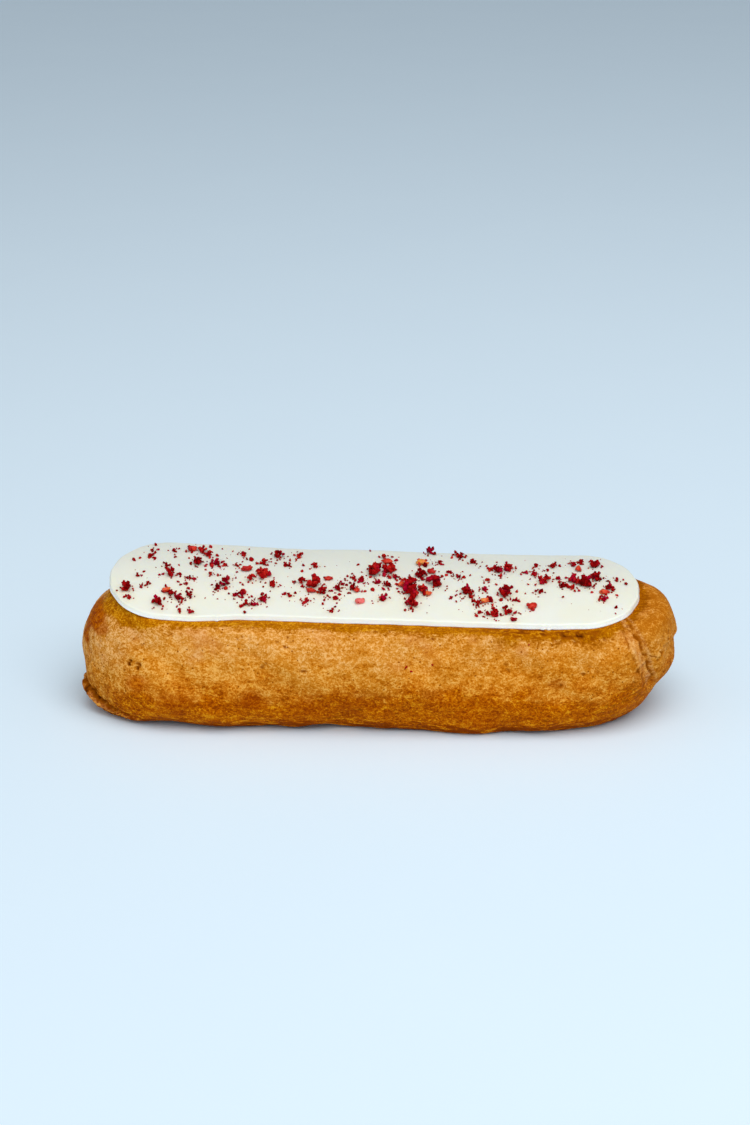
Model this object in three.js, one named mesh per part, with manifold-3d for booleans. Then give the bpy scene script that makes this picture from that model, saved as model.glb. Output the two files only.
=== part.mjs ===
// A filled eclair: a baked choux bun with a sheet of white icing on its top and
// crumbs of freeze-dried raspberry in the icing.
// Millimetres. X runs along the eclair, Y from its front to its back, Z up. The origin is
// under the middle of the bun, on the surface that the bun stands on.

import * as THREE from 'three';
import { mergeVertices } from 'three/addons/utils/BufferGeometryUtils.js';
import Module from 'manifold-3d';

// The bun's driving dimensions.
const LENGTH = 139;
const HALF_LENGTH = LENGTH / 2;
const HALF_WIDTH = 21;
const WAIST_HEIGHT = 14.5;
const CROWN_HEIGHT = 33;
const DEPTH_UNDER_BASE = 3.2;
const SECTION_POWER = 2.35;
const BELLY = { at: 4, taper: 0.1 };
const BASE_EDGE_RADIUS = 0.8;
const CROWN_EDGE_RADIUS = 1.6;

// How each end closes: the length over which the width, the upper half and the lower half
// of a section shrink to the nose, how blunt that is, and how high the nose stands.
const LEFT_END = { side: 29, upper: 27, lower: 10.5, power: 2.25, nose: 10.8 };
const RIGHT_END = { side: 23, upper: 19, lower: 27, power: 2.1, nose: 18.8 };
const NOSE_BLEND = 24;

// The icing sheet: a long plate with blunt round ends, laid slightly askew on the crown. It
// leans towards the front, sags a little between its ends, and is domed from edge to edge.
// At the front of its left end it droops and reaches further out.
const ICING_HALF_LENGTH = 61.9;
const ICING_HALF_WIDTH = 15.1;
const ICING_END = 13.2;
const ICING_THICKNESS = 1.15;
const ICING_BEVEL = 0.35;
const ICING_HEIGHT = 30.9;
const ICING_LEAN = Math.tan(THREE.MathUtils.degToRad(10));
const ICING_FALL = 0.0095;
const ICING_SAG = 0.9;
const ICING_DOME = 0.8;
const ICING_CENTRE = { x: -1.0, y: 0.4 };
const ICING_YAW = THREE.MathUtils.degToRad(-1.5);
const ICING_RIPPLES = [
  { height: 0.12, along: 0.11, across: 0, phase: 1.3 },
  { height: 0.08, along: 0.19, across: 0.12, phase: 0 },
];
const ICING_WOBBLE = { share: 0.006, along: 0.23 };
const ICING_DROOP = { at: -46, half: 17, down: 0.6, out: 1.2, from: -4, to: -15 };
const GAP = 0.3;

// The crust's relief: slow swells all over, a crease with a dome beyond it at the right end,
// a full shoulder over the right nose and a step under it, the torn lip of the base at the
// left end with a groove above it, a foot that spreads, arches off the surface, and broken
// dough under the icing.
const SWELLS = { count: 12, longest: 34, shortest: 6, height: 0.34, seed: 7 };
const CREASE = { top: 57.4, drift: 0.62, bend: 0.0155, depth: 1.3, half: 2.5, from: 12, to: 27 };
const DOME = { beyond: 5, half: 5, out: 0.7 };
const SHOULDER = { at: 63, half: 7, out: 0.4, from: 18, to: 25 };
const NOSE_STEP = { at: 64, height: 20.6, tall: 7, depth: 1.0 };
const LIP = { out: 1.6, foot: 0.65, height: 6.9, level: 4, fall: 0.6, least: 1.8, from: -50, to: -66 };
const GROOVE = { depth: 1.4, above: 0.8, half: 1.2 };
const FOOT = { at: 20, half: 26, out: 1.5, height: 8 };
const ARCHES = [
  { at: -50, half: 15, lift: 1.0 },
  { at: -13, half: 8, lift: 1.4 },
  { at: 4.5, half: 4, lift: 0.6 },
  { at: 36, half: 9, lift: 0.6 },
];
const BREAK = { at: 46.5, half: 9, height: 25.2, reach: 2.2, depth: 1.1 };
const CRUMBLE = { least: 0.6, long: 0.4, short: 0.3 };

// How finely the surfaces are cut into faces, and any turn that finds a nose.
const CAP_RINGS = 16;
const BODY_RINGS = 38;
const AROUND = 48;
const NOSE_TURN = 1;
const ICING_CAP_POINTS = 14;
const ICING_SIDE_POINTS = 22;

// A seeded draw between 0 and 1, the same in every run.
function makeRandom(seed) {
  let state = seed;
  return () => {
    state = (state * 1664525 + 1013904223) % 4294967296;
    return state / 4294967296;
  };
}

// 0 below the first edge, 1 above the second, and smooth between them.
function smoothStep(low, high, value) {
  const t = Math.min(1, Math.max(0, (value - low) / (high - low)));
  return t * t * (3 - 2 * t);
}

// The larger of value and 0, with the corner between them rounded.
function roundedFloor(value, radius) {
  if (value >= radius) return value;
  if (value <= -radius) return 0;
  return ((value + radius) ** 2) / (4 * radius);
}

// A smooth hump: 1 at its middle and 0 beyond its half width.
function hump(value, half) {
  const t = Math.min(1, Math.abs(value) / half);
  return (1 - t * t) ** 2;
}

// How much of a full section is left at a distance from the tip.
function capFactor(distance, length, power) {
  if (distance >= length) return 1;
  return (1 - (1 - Math.max(0, distance) / length) ** power) ** (1 / power);
}

// How far the crust faces along the bun at a distance from a tip: 1 at the tip itself.
function endLean(distance, end) {
  return Math.max(0, 1 - distance / end.side) ** (end.power - 1);
}

// A place on the icing sheet, given along and across it, as a place on the eclair.
function onIcing(along, across) {
  const x = ICING_CENTRE.x + along * Math.cos(ICING_YAW) - across * Math.sin(ICING_YAW);
  const y = ICING_CENTRE.y + along * Math.sin(ICING_YAW) + across * Math.cos(ICING_YAW);
  return { x, y };
}

// How far the icing is domed at a place on the eclair: most on its middle line.
function icingDome(x, y) {
  const fromX = x - ICING_CENTRE.x;
  const fromY = y - ICING_CENTRE.y;
  const along = fromX * Math.cos(ICING_YAW) + fromY * Math.sin(ICING_YAW);
  const across = fromY * Math.cos(ICING_YAW) - fromX * Math.sin(ICING_YAW);
  const beyond = Math.max(0, Math.abs(along) - (ICING_HALF_LENGTH - ICING_END)) / ICING_END;
  const share = Math.hypot(beyond, across / ICING_HALF_WIDTH);
  return ICING_DOME * Math.max(0, 1 - share * share);
}

// The height of the icing's upper face at a place on the eclair.
function icingTop(x, y) {
  const along = (x - ICING_CENTRE.x) / ICING_HALF_LENGTH;
  const sag = ICING_SAG * (1 - along * along);
  const ripple = ICING_RIPPLES.reduce(
    (sum, wave) => sum + wave.height * Math.sin(x * wave.along + y * wave.across + wave.phase),
    0,
  );
  const leaning = ICING_LEAN * (y - ICING_CENTRE.y) - ICING_FALL * x;
  const droop = ICING_DROOP.down
    * hump(x - ICING_DROOP.at, ICING_DROOP.half)
    * smoothStep(ICING_DROOP.from, ICING_DROOP.to, y);
  return ICING_HEIGHT + leaning - sag + icingDome(x, y) + ripple - droop;
}

// Long and short swells of the crust: a sum of waves in seeded directions.
function makeSwells({ count, longest, shortest, height, seed }) {
  const random = makeRandom(seed);
  const waves = [];
  for (let i = 0; i < count; i += 1) {
    const share = i / (count - 1);
    const wavelength = longest * (shortest / longest) ** share;
    const turn = random() * 2 * Math.PI;
    const rise = random() * 2 - 1;
    const flat = Math.sqrt(1 - rise * rise);
    const pitch = (2 * Math.PI) / wavelength;
    waves.push({
      x: pitch * flat * Math.cos(turn),
      y: pitch * flat * Math.sin(turn),
      z: pitch * rise,
      phase: random() * 2 * Math.PI,
      height: (height * wavelength) / longest,
    });
  }
  return (x, y, z) => waves.reduce(
    (sum, w) => sum + w.height * Math.sin(w.x * x + w.y * y + w.z * z + w.phase),
    0,
  );
}

const swells = makeSwells(SWELLS);

// How far the crust stands out from its smooth form at a place on it.
function crustRelief(x, y, z) {
  let out = swells(x, y, z);
  const front = smoothStep(2, -6, y);

  const down = CREASE.to - z;
  const creaseX = CREASE.top + CREASE.drift * down - CREASE.bend * down * down;
  const creaseSpan = smoothStep(CREASE.from - 4, CREASE.from, z) * front;
  out -= CREASE.depth * creaseSpan * hump(x - creaseX, CREASE.half);
  out += DOME.out * creaseSpan * hump(x - creaseX - DOME.beyond, DOME.half);

  out += SHOULDER.out * hump(x - SHOULDER.at, SHOULDER.half) * smoothStep(SHOULDER.from, SHOULDER.to, z);
  const step = smoothStep(NOSE_STEP.at, NOSE_STEP.at + 3, x) * smoothStep(7, 0, y);
  const below = NOSE_STEP.height - z;
  out -= NOSE_STEP.depth * step * smoothStep(-0.4, 0.4, below) * smoothStep(NOSE_STEP.tall, 3, below);

  const lipEdge = Math.max(LIP.least, LIP.height - LIP.fall * Math.max(0, Math.abs(y) - LIP.level));
  const lip = smoothStep(LIP.foot * lipEdge, lipEdge - 0.5, z) * smoothStep(lipEdge + 1, lipEdge, z);
  const groove = hump(z - lipEdge - GROOVE.above, GROOVE.half);
  out += smoothStep(LIP.from, LIP.to, x) * (LIP.out * lip - GROOVE.depth * groove);

  const foot = hump(x - FOOT.at, FOOT.half) * smoothStep(FOOT.height, 0, z);
  out += FOOT.out * foot * front;

  const broken = hump(x - BREAK.at, BREAK.half) * hump(z - BREAK.height, BREAK.reach) * front;
  const crumble = CRUMBLE.least
    + CRUMBLE.long * Math.sin(x * 1.9)
    + CRUMBLE.short * Math.sin(x * 3.1 + 1);
  out -= BREAK.depth * broken * crumble;
  return out;
}

// Where the underside is lifted off the surface at the front edge.
function baseLift(x, y) {
  const edge = smoothStep(-4, -13, y);
  return ARCHES.reduce((lift, arch) => lift + arch.lift * edge * hump(x - arch.at, arch.half), 0);
}

// The smooth sizes of the section at a place along the bun, and its lean: how far the crust
// faces along the bun there, 1 at the left nose and -1 at the right.
function sectionAt(x) {
  const leftGap = x + HALF_LENGTH;
  const rightGap = HALF_LENGTH - x;
  const leftShare = 1 - smoothStep(0, NOSE_BLEND, leftGap);
  const rightShare = 1 - smoothStep(0, NOSE_BLEND, rightGap);
  const waist = WAIST_HEIGHT
    + (LEFT_END.nose - WAIST_HEIGHT) * leftShare
    + (RIGHT_END.nose - WAIST_HEIGHT) * rightShare;
  const close = (part) => (
    capFactor(leftGap, LEFT_END[part], LEFT_END.power)
    * capFactor(rightGap, RIGHT_END[part], RIGHT_END.power)
  );
  const taper = 1 - BELLY.taper * ((x - BELLY.at) / HALF_LENGTH) ** 2;
  return {
    waist,
    lean: endLean(leftGap, LEFT_END) - endLean(rightGap, RIGHT_END),
    side: HALF_WIDTH * taper * close('side'),
    upper: (CROWN_HEIGHT - waist) * close('upper'),
    lower: (waist + DEPTH_UNDER_BASE) * close('lower'),
  };
}

// A point of the crust: x along the bun, and a turn round its section from the front.
function crustPoint(x, turn) {
  const section = sectionAt(x);
  const across = -Math.cos(turn);
  const up = Math.sin(turn);
  const tall = up >= 0 ? section.upper : section.lower;
  const reach = (
    (Math.abs(across) / section.side) ** SECTION_POWER
    + (Math.abs(up) / tall) ** SECTION_POWER
  ) ** (-1 / SECTION_POWER);
  const smoothY = reach * across;
  const smoothZ = section.waist + reach * up;
  const relief = crustRelief(x, smoothY, smoothZ);
  const outward = relief * Math.sqrt(1 - section.lean ** 2);
  const y = smoothY + outward * across;
  const rough = smoothZ + outward * up;
  const base = baseLift(x, y);
  const lifted = base + roundedFloor(rough - base, BASE_EDGE_RADIUS);
  const ceiling = icingTop(x, y) - ICING_THICKNESS - GAP;
  const z = ceiling - roundedFloor(ceiling - lifted, CROWN_EDGE_RADIUS);
  return [x - relief * section.lean, y, z];
}

// The places along the bun where a section is taken, even along the crust.
function crustStations() {
  const stations = [];
  const straight = LENGTH - LEFT_END.side - RIGHT_END.side;
  for (let i = 1; i <= CAP_RINGS; i += 1) {
    const angle = (i / CAP_RINGS) * (Math.PI / 2);
    stations.push(-HALF_LENGTH + LEFT_END.side * (1 - Math.cos(angle) ** (2 / LEFT_END.power)));
  }
  for (let i = 1; i < BODY_RINGS; i += 1) {
    stations.push(-HALF_LENGTH + LEFT_END.side + (straight * i) / BODY_RINGS);
  }
  for (let i = CAP_RINGS; i >= 1; i -= 1) {
    const angle = (i / CAP_RINGS) * (Math.PI / 2);
    stations.push(HALF_LENGTH - RIGHT_END.side * (1 - Math.cos(angle) ** (2 / RIGHT_END.power)));
  }
  return stations;
}

// Joins equal corners, drops faces that have closed up, and gives an indexed geometry.
function geometryFrom(points, faces) {
  const loose = new THREE.BufferGeometry();
  loose.setAttribute('position', new THREE.Float32BufferAttribute(points.flat(), 3));
  loose.setIndex(faces.flat());
  const joined = mergeVertices(loose, 1e-4);
  const index = joined.index.array;
  const kept = [];
  for (let i = 0; i < index.length; i += 3) {
    const [a, b, c] = [index[i], index[i + 1], index[i + 2]];
    if (a !== b && b !== c && c !== a) kept.push(a, b, c);
  }
  joined.setIndex(kept);
  return joined;
}

// The faces between two rings of equal count.
function bandFaces(first, second, count) {
  const faces = [];
  for (let j = 0; j < count; j += 1) {
    const next = (j + 1) % count;
    faces.push([first + j, first + next, second + next]);
    faces.push([first + j, second + next, second + j]);
  }
  return faces;
}

function makeCrust() {
  const points = [crustPoint(-HALF_LENGTH, NOSE_TURN)];
  const faces = [];
  const stations = crustStations();
  stations.forEach((x) => {
    for (let j = 0; j < AROUND; j += 1) {
      points.push(crustPoint(x, (j / AROUND) * 2 * Math.PI));
    }
  });
  const last = points.length;
  points.push(crustPoint(HALF_LENGTH, NOSE_TURN));
  for (let j = 0; j < AROUND; j += 1) {
    const next = (j + 1) % AROUND;
    faces.push([0, 1 + j, 1 + next]);
    faces.push([last, last - AROUND + next, last - AROUND + j]);
  }
  for (let i = 0; i + 1 < stations.length; i += 1) {
    faces.push(...bandFaces(1 + (i + 1) * AROUND, 1 + i * AROUND, AROUND));
  }
  return geometryFrom(points, faces);
}

// The icing's outline in its own plane: the point of the middle line that each corner of
// the outline belongs to, and the way from there to the edge.
function icingOutline() {
  const outline = [];
  const straight = ICING_HALF_LENGTH - ICING_END;
  [1, -1].forEach((end) => {
    for (let i = 0; i < ICING_CAP_POINTS; i += 1) {
      const angle = -Math.PI / 2 + (Math.PI * i) / ICING_CAP_POINTS;
      outline.push({
        middle: end * straight,
        along: end * ICING_END * Math.cos(angle),
        across: end * ICING_HALF_WIDTH * Math.sin(angle),
      });
    }
    for (let i = 0; i < ICING_SIDE_POINTS; i += 1) {
      outline.push({
        middle: end * straight * (1 - (2 * i) / ICING_SIDE_POINTS),
        along: 0,
        across: end * ICING_HALF_WIDTH,
      });
    }
  });
  return outline;
}

function makeIcingSheet() {
  const outline = icingOutline();
  const rings = [
    { share: 0, drop: ICING_THICKNESS },
    { share: 0.6, drop: ICING_THICKNESS },
    { share: 1, drop: ICING_THICKNESS },
    { share: 1, drop: ICING_BEVEL },
    { share: 0.98, drop: 0 },
    { share: 0.55, drop: 0 },
    { share: 0, drop: 0 },
  ];
  const points = [];
  const faces = [];
  rings.forEach((ring, k) => {
    outline.forEach((corner) => {
      const wave = Math.sin(corner.middle * ICING_WOBBLE.along + corner.across);
      const wobble = 1 + ICING_WOBBLE.share * wave;
      const along = corner.middle + corner.along * ring.share * wobble;
      const reach = corner.across < 0 ? ICING_DROOP.out * hump(along - ICING_DROOP.at, ICING_DROOP.half) : 0;
      const across = corner.across * ring.share * wobble - reach * ring.share ** 2;
      const { x, y } = onIcing(along, across);
      points.push([x, y, icingTop(x, y) - ring.drop]);
    });
    if (k > 0) faces.push(...bandFaces((k - 1) * outline.length, k * outline.length, outline.length));
  });
  return geometryFrom(points, faces);
}

// The raspberry clumps that show best: along and across the icing from its middle, and size.
const CRUMBS = [
  [-58.4, -5.2, 2.6], [-51.1, -10.4, 2.7], [-48.3, -6.6, 1.6], [-46.6, -8.0, 1.7],
  [-43.5, -6.5, 1.7], [-47.5, 2.3, 2.4], [-48.7, 5.8, 1.3], [-41.9, 7.9, 2.4],
  [-41.4, 13.6, 2.0], [-39.5, 11.9, 1.8], [-37.4, 8.2, 1.9], [-34.8, -0.9, 2.3],
  [-44.5, -13.8, 1.3], [-47.0, -14.2, 1.2], [-26.1, 9.0, 1.8], [-25.6, 3.4, 3.2],
  [-28.5, 1.9, 2.0], [-23.3, 12.7, 2.4], [-18.1, 13.1, 1.4], [-23.1, -0.3, 1.8],
  [-26.6, -7.1, 2.2], [-28.5, -8.9, 1.3], [-16.0, -7.1, 1.3], [-13.6, 0.4, 3.4],
  [-16.6, 1.4, 2.0], [-11.5, -2.5, 2.2], [-7.1, 1.3, 1.2], [-10.1, -10.7, 1.3],
  [-4.4, -0.5, 1.8], [-2.6, 2.9, 1.7], [0.0, 6.6, 3.4], [3.4, 7.9, 3.2],
  [1.9, 13.8, 1.5], [2.1, -4.2, 2.2], [12.9, 17.4, 2.4], [10.8, 5.6, 2.9],
  [14.6, 2.2, 3.6], [8.2, 0.2, 3.8], [9.6, -2.6, 3.4], [12.0, -1.3, 2.4],
  [9.2, -7.1, 2.8], [19.4, 16.2, 2.0], [21.6, -0.7, 2.8], [25.9, 0.8, 1.3],
  [26.4, 5.1, 1.1], [27.2, -3.6, 1.6], [24.5, -5.3, 1.6], [31.0, -0.4, 3.0],
  [31.3, 10.0, 2.4], [29.2, 9.2, 2.2], [27.8, -9.6, 2.6], [31.5, -8.6, 2.0],
  [32.5, -11.6, 1.3], [39.5, 4.7, 2.6], [38.8, 0.3, 1.2], [41.9, 11.3, 1.5],
  [51.3, 12.6, 2.6], [46.8, 12.6, 1.6], [46.8, 4.9, 2.8], [49.4, 3.6, 3.2],
  [51.8, 6.4, 2.4], [54.8, 2.2, 1.9], [53.4, -2.6, 1.5], [44.5, 2.7, 1.6],
];

// The raspberry pips and whole drupelets, given in the same way.
const PIPS = [
  [-48.9, -5.2, 2.1], [-43.8, 14.0, 2.3], [-29.9, 5.7, 2.6], [-30.4, -3.5, 1.8],
  [-14.4, -2.2, 2.0], [-10.4, 3.2, 1.9], [-3.6, -1.2, 1.7], [-3.3, -6.7, 2.3],
  [2.8, 11.2, 2.2], [11.1, 11.2, 2.6], [13.4, 7.4, 2.2], [6.8, 1.5, 2.0],
  [12.9, -2.0, 1.7], [26.1, -4.0, 2.2], [37.2, -6.7, 2.4], [47.8, 10.2, 2.0],
  [53.6, 0.0, 2.1],
];

// The clumps' places are counted from the sheet's middle as it looks from the front, which
// lies nearer than its true middle. This turns such a place into one on the sheet itself.
const SEEN = { back: 3.3, front: 2.2, from: -3, to: -8, turn: 0.0029, beyond: 40, edge: 14.6 };

function onSheet(along, across) {
  const nearer = SEEN.back + (SEEN.front - SEEN.back) * smoothStep(SEEN.from, SEEN.to, across);
  const turned = SEEN.turn * Math.max(0, 1 - across) * Math.max(0, SEEN.beyond - along);
  return { along: along + turned, across: Math.max(-SEEN.edge, across - nearer) };
}

// A clump is one stone for each step of its size: a large one and smaller ones beside it.
const CLUMP = { step: 1.5, middle: 0.78, others: 0.5, away: 0.36, stretch: 0.85 };
const PIP_STRETCH = 0.62;

// Small loose bits: how many, how large the largest and smallest are, and how far from a
// clump they lie.
const LOOSE = { count: 44, largest: 1.15, smallest: 0.6, nearest: 1.5, reach: 5, stretch: 0.9 };

// One rough bit, sunk a little into the icing.
function bitGeometry(random, place, size, stretch) {
  const rough = new THREE.IcosahedronGeometry(size / 2, 0);
  rough.deleteAttribute('normal');
  rough.deleteAttribute('uv');
  const bit = mergeVertices(rough);
  const corners = bit.attributes.position;
  for (let i = 0; i < corners.count; i += 1) {
    const swell = 0.78 + 0.44 * random();
    corners.setXYZ(i, corners.getX(i) * swell, corners.getY(i) * swell, corners.getZ(i) * swell);
  }
  bit.scale(1, stretch, stretch * 0.9);
  bit.rotateY((random() - 0.5) * 0.7);
  bit.rotateZ(random() * 2 * Math.PI);
  const { x, y } = onIcing(place.along, place.across);
  bit.translate(x, y, icingTop(x, y) + size * stretch * 0.2);
  return bit;
}

// Every bit on the icing, the largest first: the chosen clumps, then the loose ones, which
// lie thicker round the chosen ones and towards the back.
function raspberryBits() {
  const random = makeRandom(2024);
  const bits = [];
  PIPS.forEach(([along, across, size]) => {
    bits.push(bitGeometry(random, onSheet(along, across), size, PIP_STRETCH));
  });
  CRUMBS.forEach(([seenAlong, seenAcross, size]) => {
    const { along, across } = onSheet(seenAlong, seenAcross);
    const pieces = Math.max(1, Math.round(size / CLUMP.step));
    for (let i = 0; i < pieces; i += 1) {
      const turn = random() * 2 * Math.PI;
      const away = i === 0 ? 0 : size * CLUMP.away;
      const part = i === 0 ? CLUMP.middle : CLUMP.others;
      const place = { along: along + away * Math.cos(turn), across: across + away * Math.sin(turn) };
      bits.push(bitGeometry(random, place, size * part, CLUMP.stretch));
    }
  });
  for (let i = 0; i < LOOSE.count; i += 1) {
    const [seenAlong, seenAcross] = CRUMBS[Math.floor(random() * CRUMBS.length)];
    const { along, across } = onSheet(seenAlong, seenAcross);
    const turn = random() * 2 * Math.PI;
    const away = LOOSE.nearest + LOOSE.reach * random() * random();
    const size = LOOSE.largest + (LOOSE.smallest - LOOSE.largest) * (i / LOOSE.count);
    const place = {
      along: along + away * Math.cos(turn),
      across: Math.max(-SEEN.edge, Math.min(SEEN.edge, across + away * Math.sin(turn))),
    };
    bits.push(bitGeometry(random, place, size, LOOSE.stretch));
  }
  return bits;
}

const wasm = await Module();
wasm.setup();

function toSolid(geometry) {
  return new wasm.Manifold(new wasm.Mesh({
    numProp: 3,
    vertProperties: new Float32Array(geometry.attributes.position.array),
    triVerts: new Uint32Array(geometry.index.array),
  }));
}

function toGeometry(solid) {
  const mesh = solid.getMesh();
  const geometry = new THREE.BufferGeometry();
  geometry.setAttribute('position', new THREE.BufferAttribute(mesh.vertProperties, 3));
  geometry.setIndex(new THREE.BufferAttribute(mesh.triVerts, 1));
  return geometry;
}

function makeIcing() {
  const bits = raspberryBits();
  const whole = bits.reduce((joined, bit) => joined.add(toSolid(bit)), toSolid(makeIcingSheet()));
  const outside = whole.decompose().sort((a, b) => b.volume() - a.volume())[0];
  return toGeometry(outside);
}

const crustFinish = new THREE.MeshStandardMaterial({ color: 0xc98a3c, roughness: 0.62, metalness: 0 });
const icingFinish = new THREE.MeshStandardMaterial({ color: 0xf1efe0, roughness: 0.4, metalness: 0 });

const crust = new THREE.Mesh(makeCrust(), crustFinish);
crust.name = 'choux_bun';

const icing = new THREE.Mesh(makeIcing(), icingFinish);
icing.name = 'icing_sheet';

const group = new THREE.Group();
group.add(crust, icing);

export default group;
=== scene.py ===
# %% [markdown]
# An eclair, dressed over its measured solids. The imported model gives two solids: the choux
# bun and the icing sheet with its raspberry. Everything here is made in that same frame,
# X along the eclair, Y to its back, Z up, so nothing has to be fitted afterwards.

# %% Load the measured eclair
import math

import bmesh
import bpy
import numpy as np
from mathutils import Matrix, Quaternion, Vector


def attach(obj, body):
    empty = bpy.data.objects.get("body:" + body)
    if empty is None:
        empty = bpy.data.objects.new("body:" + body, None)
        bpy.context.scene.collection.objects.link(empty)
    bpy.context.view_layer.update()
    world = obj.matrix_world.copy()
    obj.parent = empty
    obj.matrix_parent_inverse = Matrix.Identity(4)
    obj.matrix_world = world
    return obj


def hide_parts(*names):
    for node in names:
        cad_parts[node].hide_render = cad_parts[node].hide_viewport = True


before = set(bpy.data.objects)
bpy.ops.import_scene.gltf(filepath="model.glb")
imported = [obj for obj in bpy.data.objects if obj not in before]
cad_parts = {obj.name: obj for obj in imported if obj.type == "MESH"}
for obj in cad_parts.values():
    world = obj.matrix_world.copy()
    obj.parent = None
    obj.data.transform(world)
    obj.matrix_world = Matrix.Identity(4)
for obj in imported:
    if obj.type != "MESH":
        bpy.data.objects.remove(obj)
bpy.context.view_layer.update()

MM = 0.001

# %% [markdown]
# The camera. The photograph looks along the eclair's front from a little above, with a long
# lens, and its horizon drops slightly to the right. A camera is best settled first, because
# every later choice is judged through it. The pixel that shows the middle of the bun fixes
# where the camera stands, so the lens needs no shift.

# %% Place the camera
PICTURE_WIDTH = 750
PICTURE_HEIGHT = 1125
FOCAL_MM = 70
SENSOR_MM = 36
PIXELS_PER_UNIT_SLOPE = PICTURE_HEIGHT * FOCAL_MM / SENSOR_MM
TARGET = Vector((0, 0, 0.016))
TARGET_PIXEL = (377.5, 640)
CAMERA_DISTANCE = 0.515
CAMERA_TURN = math.radians(2.8)
CAMERA_TILT = math.radians(21.5)
CAMERA_ROLL = math.radians(-0.5)


def camera_axes(turn, tilt, roll):
    """The camera's right, up and forward directions."""
    forward = Vector((-math.sin(turn) * math.cos(tilt), math.cos(turn) * math.cos(tilt), -math.sin(tilt)))
    level = Vector((math.cos(turn), math.sin(turn), 0))
    above = level.cross(forward)
    right = level * math.cos(roll) + above * math.sin(roll)
    up = above * math.cos(roll) - level * math.sin(roll)
    return right, up, forward


right, up, forward = camera_axes(CAMERA_TURN, CAMERA_TILT, CAMERA_ROLL)
sideways = (TARGET_PIXEL[0] - PICTURE_WIDTH / 2) / PIXELS_PER_UNIT_SLOPE
upwards = (PICTURE_HEIGHT / 2 - TARGET_PIXEL[1]) / PIXELS_PER_UNIT_SLOPE
sight = (right * sideways + up * upwards + forward).normalized()
camera_data = bpy.data.cameras.new("camera")
camera_data.lens = FOCAL_MM
camera_data.sensor_width = SENSOR_MM
camera_data.clip_start = 0.01
camera = bpy.data.objects.new("camera", camera_data)
bpy.context.scene.collection.objects.link(camera)
camera.matrix_world = Matrix.Translation(TARGET - sight * CAMERA_DISTANCE) @ Matrix(
    (
        (right.x, up.x, -forward.x, 0),
        (right.y, up.y, -forward.y, 0),
        (right.z, up.z, -forward.z, 0),
        (0, 0, 0, 1),
    )
)
bpy.context.scene.camera = camera
print("camera stands at", [round(v, 3) for v in camera.location])

# %% [markdown]
# Every surface here gets a node material. A few small helpers keep those short: one makes a
# material with its shader, one adds a node with its settings, one blends two colours by a
# mask, and others stretch or add up values. All patterns are read in millimetres from the
# object's own coordinates, so that they stay on the object whichever way it is seen.

# %% Helpers for materials
def new_material(name):
    """A material with its node tree cleared down to one shader and the output."""
    material = bpy.data.materials.new(name)
    material.use_nodes = True
    tree = material.node_tree
    tree.nodes.clear()
    output = tree.nodes.new("ShaderNodeOutputMaterial")
    shader = tree.nodes.new("ShaderNodeBsdfPrincipled")
    tree.links.new(shader.outputs["BSDF"], output.inputs["Surface"])
    return material, tree, shader


def add_node(tree, kind, inputs=None, **settings):
    """A node with its settings, and its inputs given as values or as other sockets."""
    node = tree.nodes.new(kind)
    for key, value in settings.items():
        setattr(node, key, value)
    for key, value in (inputs or {}).items():
        if isinstance(value, bpy.types.NodeSocket):
            tree.links.new(value, node.inputs[key])
        else:
            node.inputs[key].default_value = value
    return node


def millimetres(tree, stretch=(1, 1, 1)):
    """The object's own coordinates in millimetres, stretched by a factor along each axis."""
    place = add_node(tree, "ShaderNodeTexCoord")
    scale = [1 / (MM * factor) for factor in stretch]
    return add_node(
        tree, "ShaderNodeVectorMath", {0: place.outputs["Object"], 1: scale}, operation="MULTIPLY"
    ).outputs["Vector"]


def noise(tree, vector, size, detail, roughness=0.55, distortion=0.0):
    """A noise whose blotches are about size millimetres across."""
    inputs = {"Vector": vector, "Scale": 1 / size, "Detail": detail, "Roughness": roughness}
    inputs["Distortion"] = distortion
    return add_node(tree, "ShaderNodeTexNoise", inputs).outputs["Fac"]


def stored(tree, name):
    """The number that the mesh keeps under this name for each of its corners."""
    return add_node(tree, "ShaderNodeAttribute", attribute_name=name).outputs["Fac"]


def ramp(tree, value, low, high, start=0.0, end=1.0):
    """The value's stretch from low to high, spread smoothly from start to end."""
    inputs = {"Value": value, "From Min": low, "From Max": high, "To Min": start, "To Max": end}
    return add_node(
        tree, "ShaderNodeMapRange", inputs, interpolation_type="SMOOTHSTEP", clamp=True
    ).outputs["Result"]


def ramp_straight(tree, value, low, high):
    """The value's stretch from low to high, spread evenly from 0 to 1."""
    inputs = {"Value": value, "From Min": low, "From Max": high}
    return add_node(tree, "ShaderNodeMapRange", inputs, clamp=False).outputs["Result"]


def calculate(tree, operation, first, second=0.0):
    """One sum of arithmetic between two values."""
    return add_node(tree, "ShaderNodeMath", {0: first, 1: second}, operation=operation).outputs["Value"]


def swing(tree, value, amount):
    """How far a noise swings from its middle of 0.5, times an amount."""
    return calculate(tree, "MULTIPLY", calculate(tree, "SUBTRACT", value, 0.5), amount)


def blend(tree, mask, first, second):
    """The first colour where the mask is 0 and the second where it is 1."""
    node = tree.nodes.new("ShaderNodeMix")
    node.data_type = "RGBA"
    for socket, value in ((node.inputs[0], mask), (node.inputs[6], first), (node.inputs[7], second)):
        if isinstance(value, bpy.types.NodeSocket):
            tree.links.new(value, socket)
        else:
            socket.default_value = value if isinstance(value, float) else (*value, 1)
    return node.outputs[2]


def set_inputs(shader, values):
    """The shader's plain inputs: a number, a colour or a length for each channel."""
    for name, value in values.items():
        shader.inputs[name].default_value = value


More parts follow.
